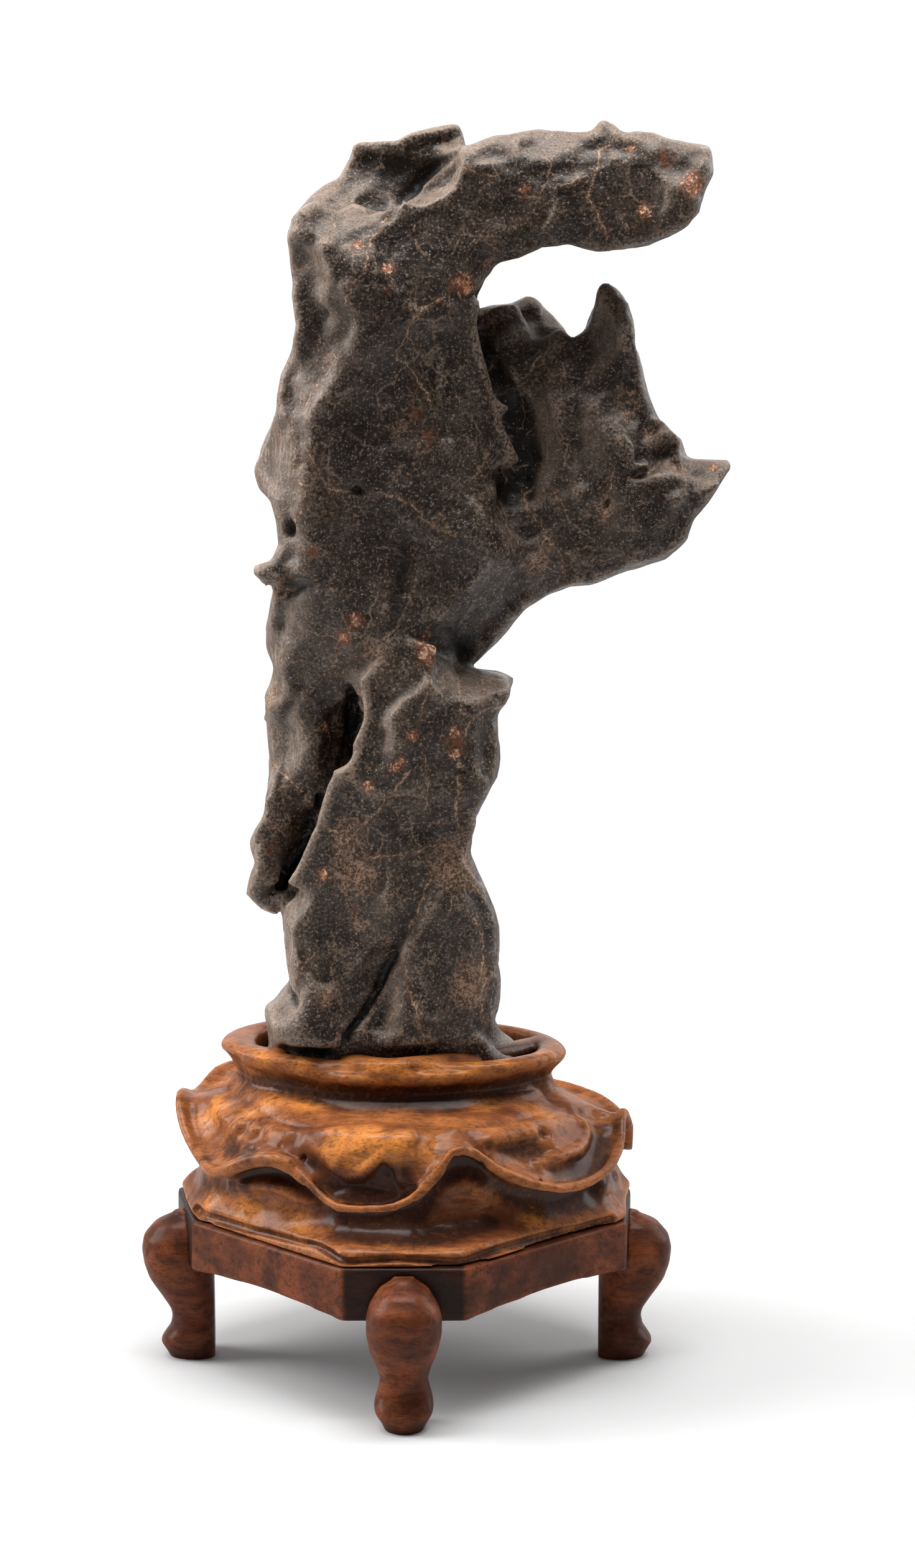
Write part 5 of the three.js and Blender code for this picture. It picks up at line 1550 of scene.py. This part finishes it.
# %% Set the stone's gloss and its finest relief
chips = mix.cells(5, at=mix.wander(6, 2.5))
grains = [mix.times(small, 0.3), mix.times(pepper, 0.14), mix.times(mix.noise(4.5, 3), 0.5)]
relief = mix.plus(*grains, mix.times(chips, 0.5), mix.times(crystal, 0.15))
gloss = mix.step(mix.noise(3, 4), 0.3, 0.7, 0.36, 0.54)
rubbed_stone = mix.finished(relief, 0.9, Roughness=gloss, Specular_IOR_Level=0.3)
stone.piece.data.materials.append(rubbed_stone)
print("stone finish:", len(mix.tree.nodes), "nodes")

# %% [markdown]
# ## The finish of the wood
#
# The hardwood is figured in long streaks, with dark pores and blotches of old polish and dust, and
# its hollows and undersides are darkened with painted shade in the same dark colour. The carved top
# is golden and more polished than the board and legs, which are redder. One recipe with two sets of
# colours makes both. A thin coat over it stands for the polish.


# %% Mix the two finishes of the wood
def wood_finish(name, gold, light, mid, dark, grime_and_shade, squeeze, coat):
    """Polished hardwood, whose pattern is squeezed along x so that it runs in streaks. Gold is for
    the worn places, if the piece has any."""
    mix = Finish(name)
    drawn = mix.stretched(squeeze, 1, 1, at=mix.wander(30, 4))
    hollow, deep = mix.read("hollow"), mix.read("deep_hollow")
    streak, fine = mix.noise(2.2, 4, 0.65, at=drawn), mix.noise(0.6, 4, 0.7, at=drawn)
    speckle = mix.noise(1.6, 5, 0.75)
    mix.lay(mix.step(mix.noise(9, 4, 0.6, at=drawn), 0.36, 0.62), mid, below=light)
    mix.lay(mix.step(mix.noise(22, 4), 0.44, 0.62, 0, 0.7), dark)
    mix.lay(mix.step(hollow, -0.05, -0.6, 0, 0.6), light)
    if gold:
        fray = mix.swing(9, 6, 5, 0.7)
        worn = mix.step(mix.plus(mix.read("worn_outside"), fray), 3, -5)
        mix.lay(mix.times(worn, 0.9), gold)
    mix.lay(mix.step(streak, 0.46, 0.68, 0, 0.65), dark)
    mix.lay(mix.step(fine, 0.48, 0.7, 0, 0.65), dark)
    blotch = mix.times(mix.step(mix.noise(7, 4, 0.6), 0.5, 0.64), mix.step(speckle, 0.46, 0.6, 0.2, 1))
    mix.lay(mix.times(blotch, 0.5), grime_and_shade)
    pore = mix.step(mix.cells(0.9, at=mix.stretched(squeeze**2, 1, 1)), 0.2, 0.1)
    pore = mix.times(pore, mix.step(mix.noise(8, 3), 0.4, 0.6, 0.2, 1))
    mix.lay(mix.times(pore, 0.7), grime_and_shade)
    # Painted shade: hollows, deep hollows and the noted shade are laid in the dark colour.
    mix.lay(mix.step(hollow, 0.06, 0.6, 0, 0.75), grime_and_shade)
    mix.lay(mix.step(deep, 0.4, 2.2, 0, 0.7), grime_and_shade)
    mix.lay(mix.step(mix.read("shade"), 0.6, 4, 0, 0.85), grime_and_shade)
    # Stains, and painted shade in the noted recesses, are laid dark.
    if gold:
        stain_and_shade = mix.step(mix.plus(mix.read("stain_and_shade_outside"), fray), 2.5, -2.5)
        mix.lay(mix.times(stain_and_shade, mix.step(speckle, 0.3, 0.5, 0.6, 1), 0.9), grime_and_shade)
    relief = mix.plus(mix.times(fine, 0.05), mix.times(pore, -0.06))
    print(f"{name}: {len(mix.tree.nodes)} nodes")
    return mix.finished(
        relief, 0.7, Roughness=0.6, Specular_IOR_Level=0.1, Coat_Weight=coat, Coat_Roughness=0.2
    )


carved = wood_finish(
    "carved_wood_finish", gold=(212, 132, 60), light=(168, 102, 54), mid=(130, 74, 39),
    dark=(84, 42, 23), grime_and_shade=(42, 19, 11), squeeze=0.28, coat=0.24,
)
joined = wood_finish(
    "board_wood_finish", gold=None, light=(122, 64, 34), mid=(87, 43, 23),
    dark=(50, 24, 14), grime_and_shade=(17, 9, 7), squeeze=0.25, coat=0.12,
)
top.piece.data.materials.append(carved)
for clay in [board, *legs]:
    clay.piece.data.materials.append(joined)

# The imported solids, which the pieces stand for, get a finish too.
for name, node in frame["nodes"].items():
    if not node.data.materials:
        node.data.materials.append(rubbed_stone if name == "stone" else joined)

# %% [markdown]
# # Floor and light
#
# The object stands on a plain pale floor. The photograph was lit as small polished things often are:
# a large softbox straight above, one at each side, and a bright wall behind. Each facet then shows
# its own tone. The room in front stays dimmer, so that the dark stone doesn't mirror it. The world
# looks white to the camera alone, and the disc of the floor is small enough to fade into it.

# %% Lay the floor
FLOOR_RADIUS, FLOOR_CORNERS = 0.5, 128

corners = [2 * math.pi * n / FLOOR_CORNERS for n in range(FLOOR_CORNERS)]
floor_mesh = bpy.data.meshes.new("floor")
round_floor = [(FLOOR_RADIUS * math.cos(a), FLOOR_RADIUS * math.sin(a), 0) for a in corners]
floor_mesh.from_pydata(round_floor, [], [list(range(FLOOR_CORNERS))])
floor = bpy.data.objects.new("floor", floor_mesh)
bpy.context.scene.collection.objects.link(floor)
paper = Finish("floor")
paper.set(Base_Color=(*linear(196, 196, 196), 1), Roughness=0.9)
floor_mesh.materials.append(paper.material)

# %% Set the room, dim in front and brighter behind, but white to the camera
ROOM_FRONT, ROOM_BACK, WHITE = 0.14, 0.35, 1.05

world = bpy.data.worlds.new("world")
bpy.context.scene.world = world
world.use_nodes = True
tree = world.node_tree
direction = tree.nodes.new("ShaderNodeSeparateXYZ")
tree.links.new(tree.nodes.new("ShaderNodeTexCoord").outputs["Generated"], direction.inputs[0])
room = tree.nodes.new("ShaderNodeMapRange")
for name, value in ("From Min", -0.5), ("From Max", 0.6), ("To Min", ROOM_FRONT), ("To Max", ROOM_BACK):
    room.inputs[name].default_value = value
tree.links.new(direction.outputs["Y"], room.inputs["Value"])
strength = tree.nodes.new("ShaderNodeMapRange")
strength.inputs["To Max"].default_value = WHITE
tree.links.new(tree.nodes.new("ShaderNodeLightPath").outputs["Is Camera Ray"], strength.inputs["Value"])
tree.links.new(room.outputs[0], strength.inputs["To Min"])
tree.links.new(strength.outputs[0], tree.nodes["Background"].inputs["Strength"])
tree.nodes["Background"].inputs["Color"].default_value = (1, 1, 1, 1)

# %% Hang the softboxes: place, width and height, and brightness
AIM = Vector((0, 0, 0.2))  # the middle of the object
SOFTBOXES = {
    "softbox_above": ((0, -0.12, 1.7), (1.5, 0.8), 10.5),
    "softbox_left": ((-1.35, 0.1, 0.9), (0.8, 1.2), 9.5),
    "softbox_right": ((1.25, 0.65, 0.7), (0.8, 1.2), 4),
    "wall_behind": ((0, 1.6, 0.7), (2.4, 1.2), 1.5),
}
for name, (place, size, brightness) in SOFTBOXES.items():
    lamp = bpy.data.lights.new(name, "AREA")
    lamp.shape = "RECTANGLE"
    lamp.size, lamp.size_y = size
    lamp.energy = brightness * size[0] * size[1] * math.pi
    holder = bpy.data.objects.new(name, lamp)
    holder.location = place
    holder.rotation_euler = (AIM - Vector(place)).to_track_quat("-Z", "Y").to_euler()
    holder.visible_camera = False
    bpy.context.scene.collection.objects.link(holder)
bpy.context.scene.view_settings.view_transform = "Standard"
print(len(SOFTBOXES), "softboxes")
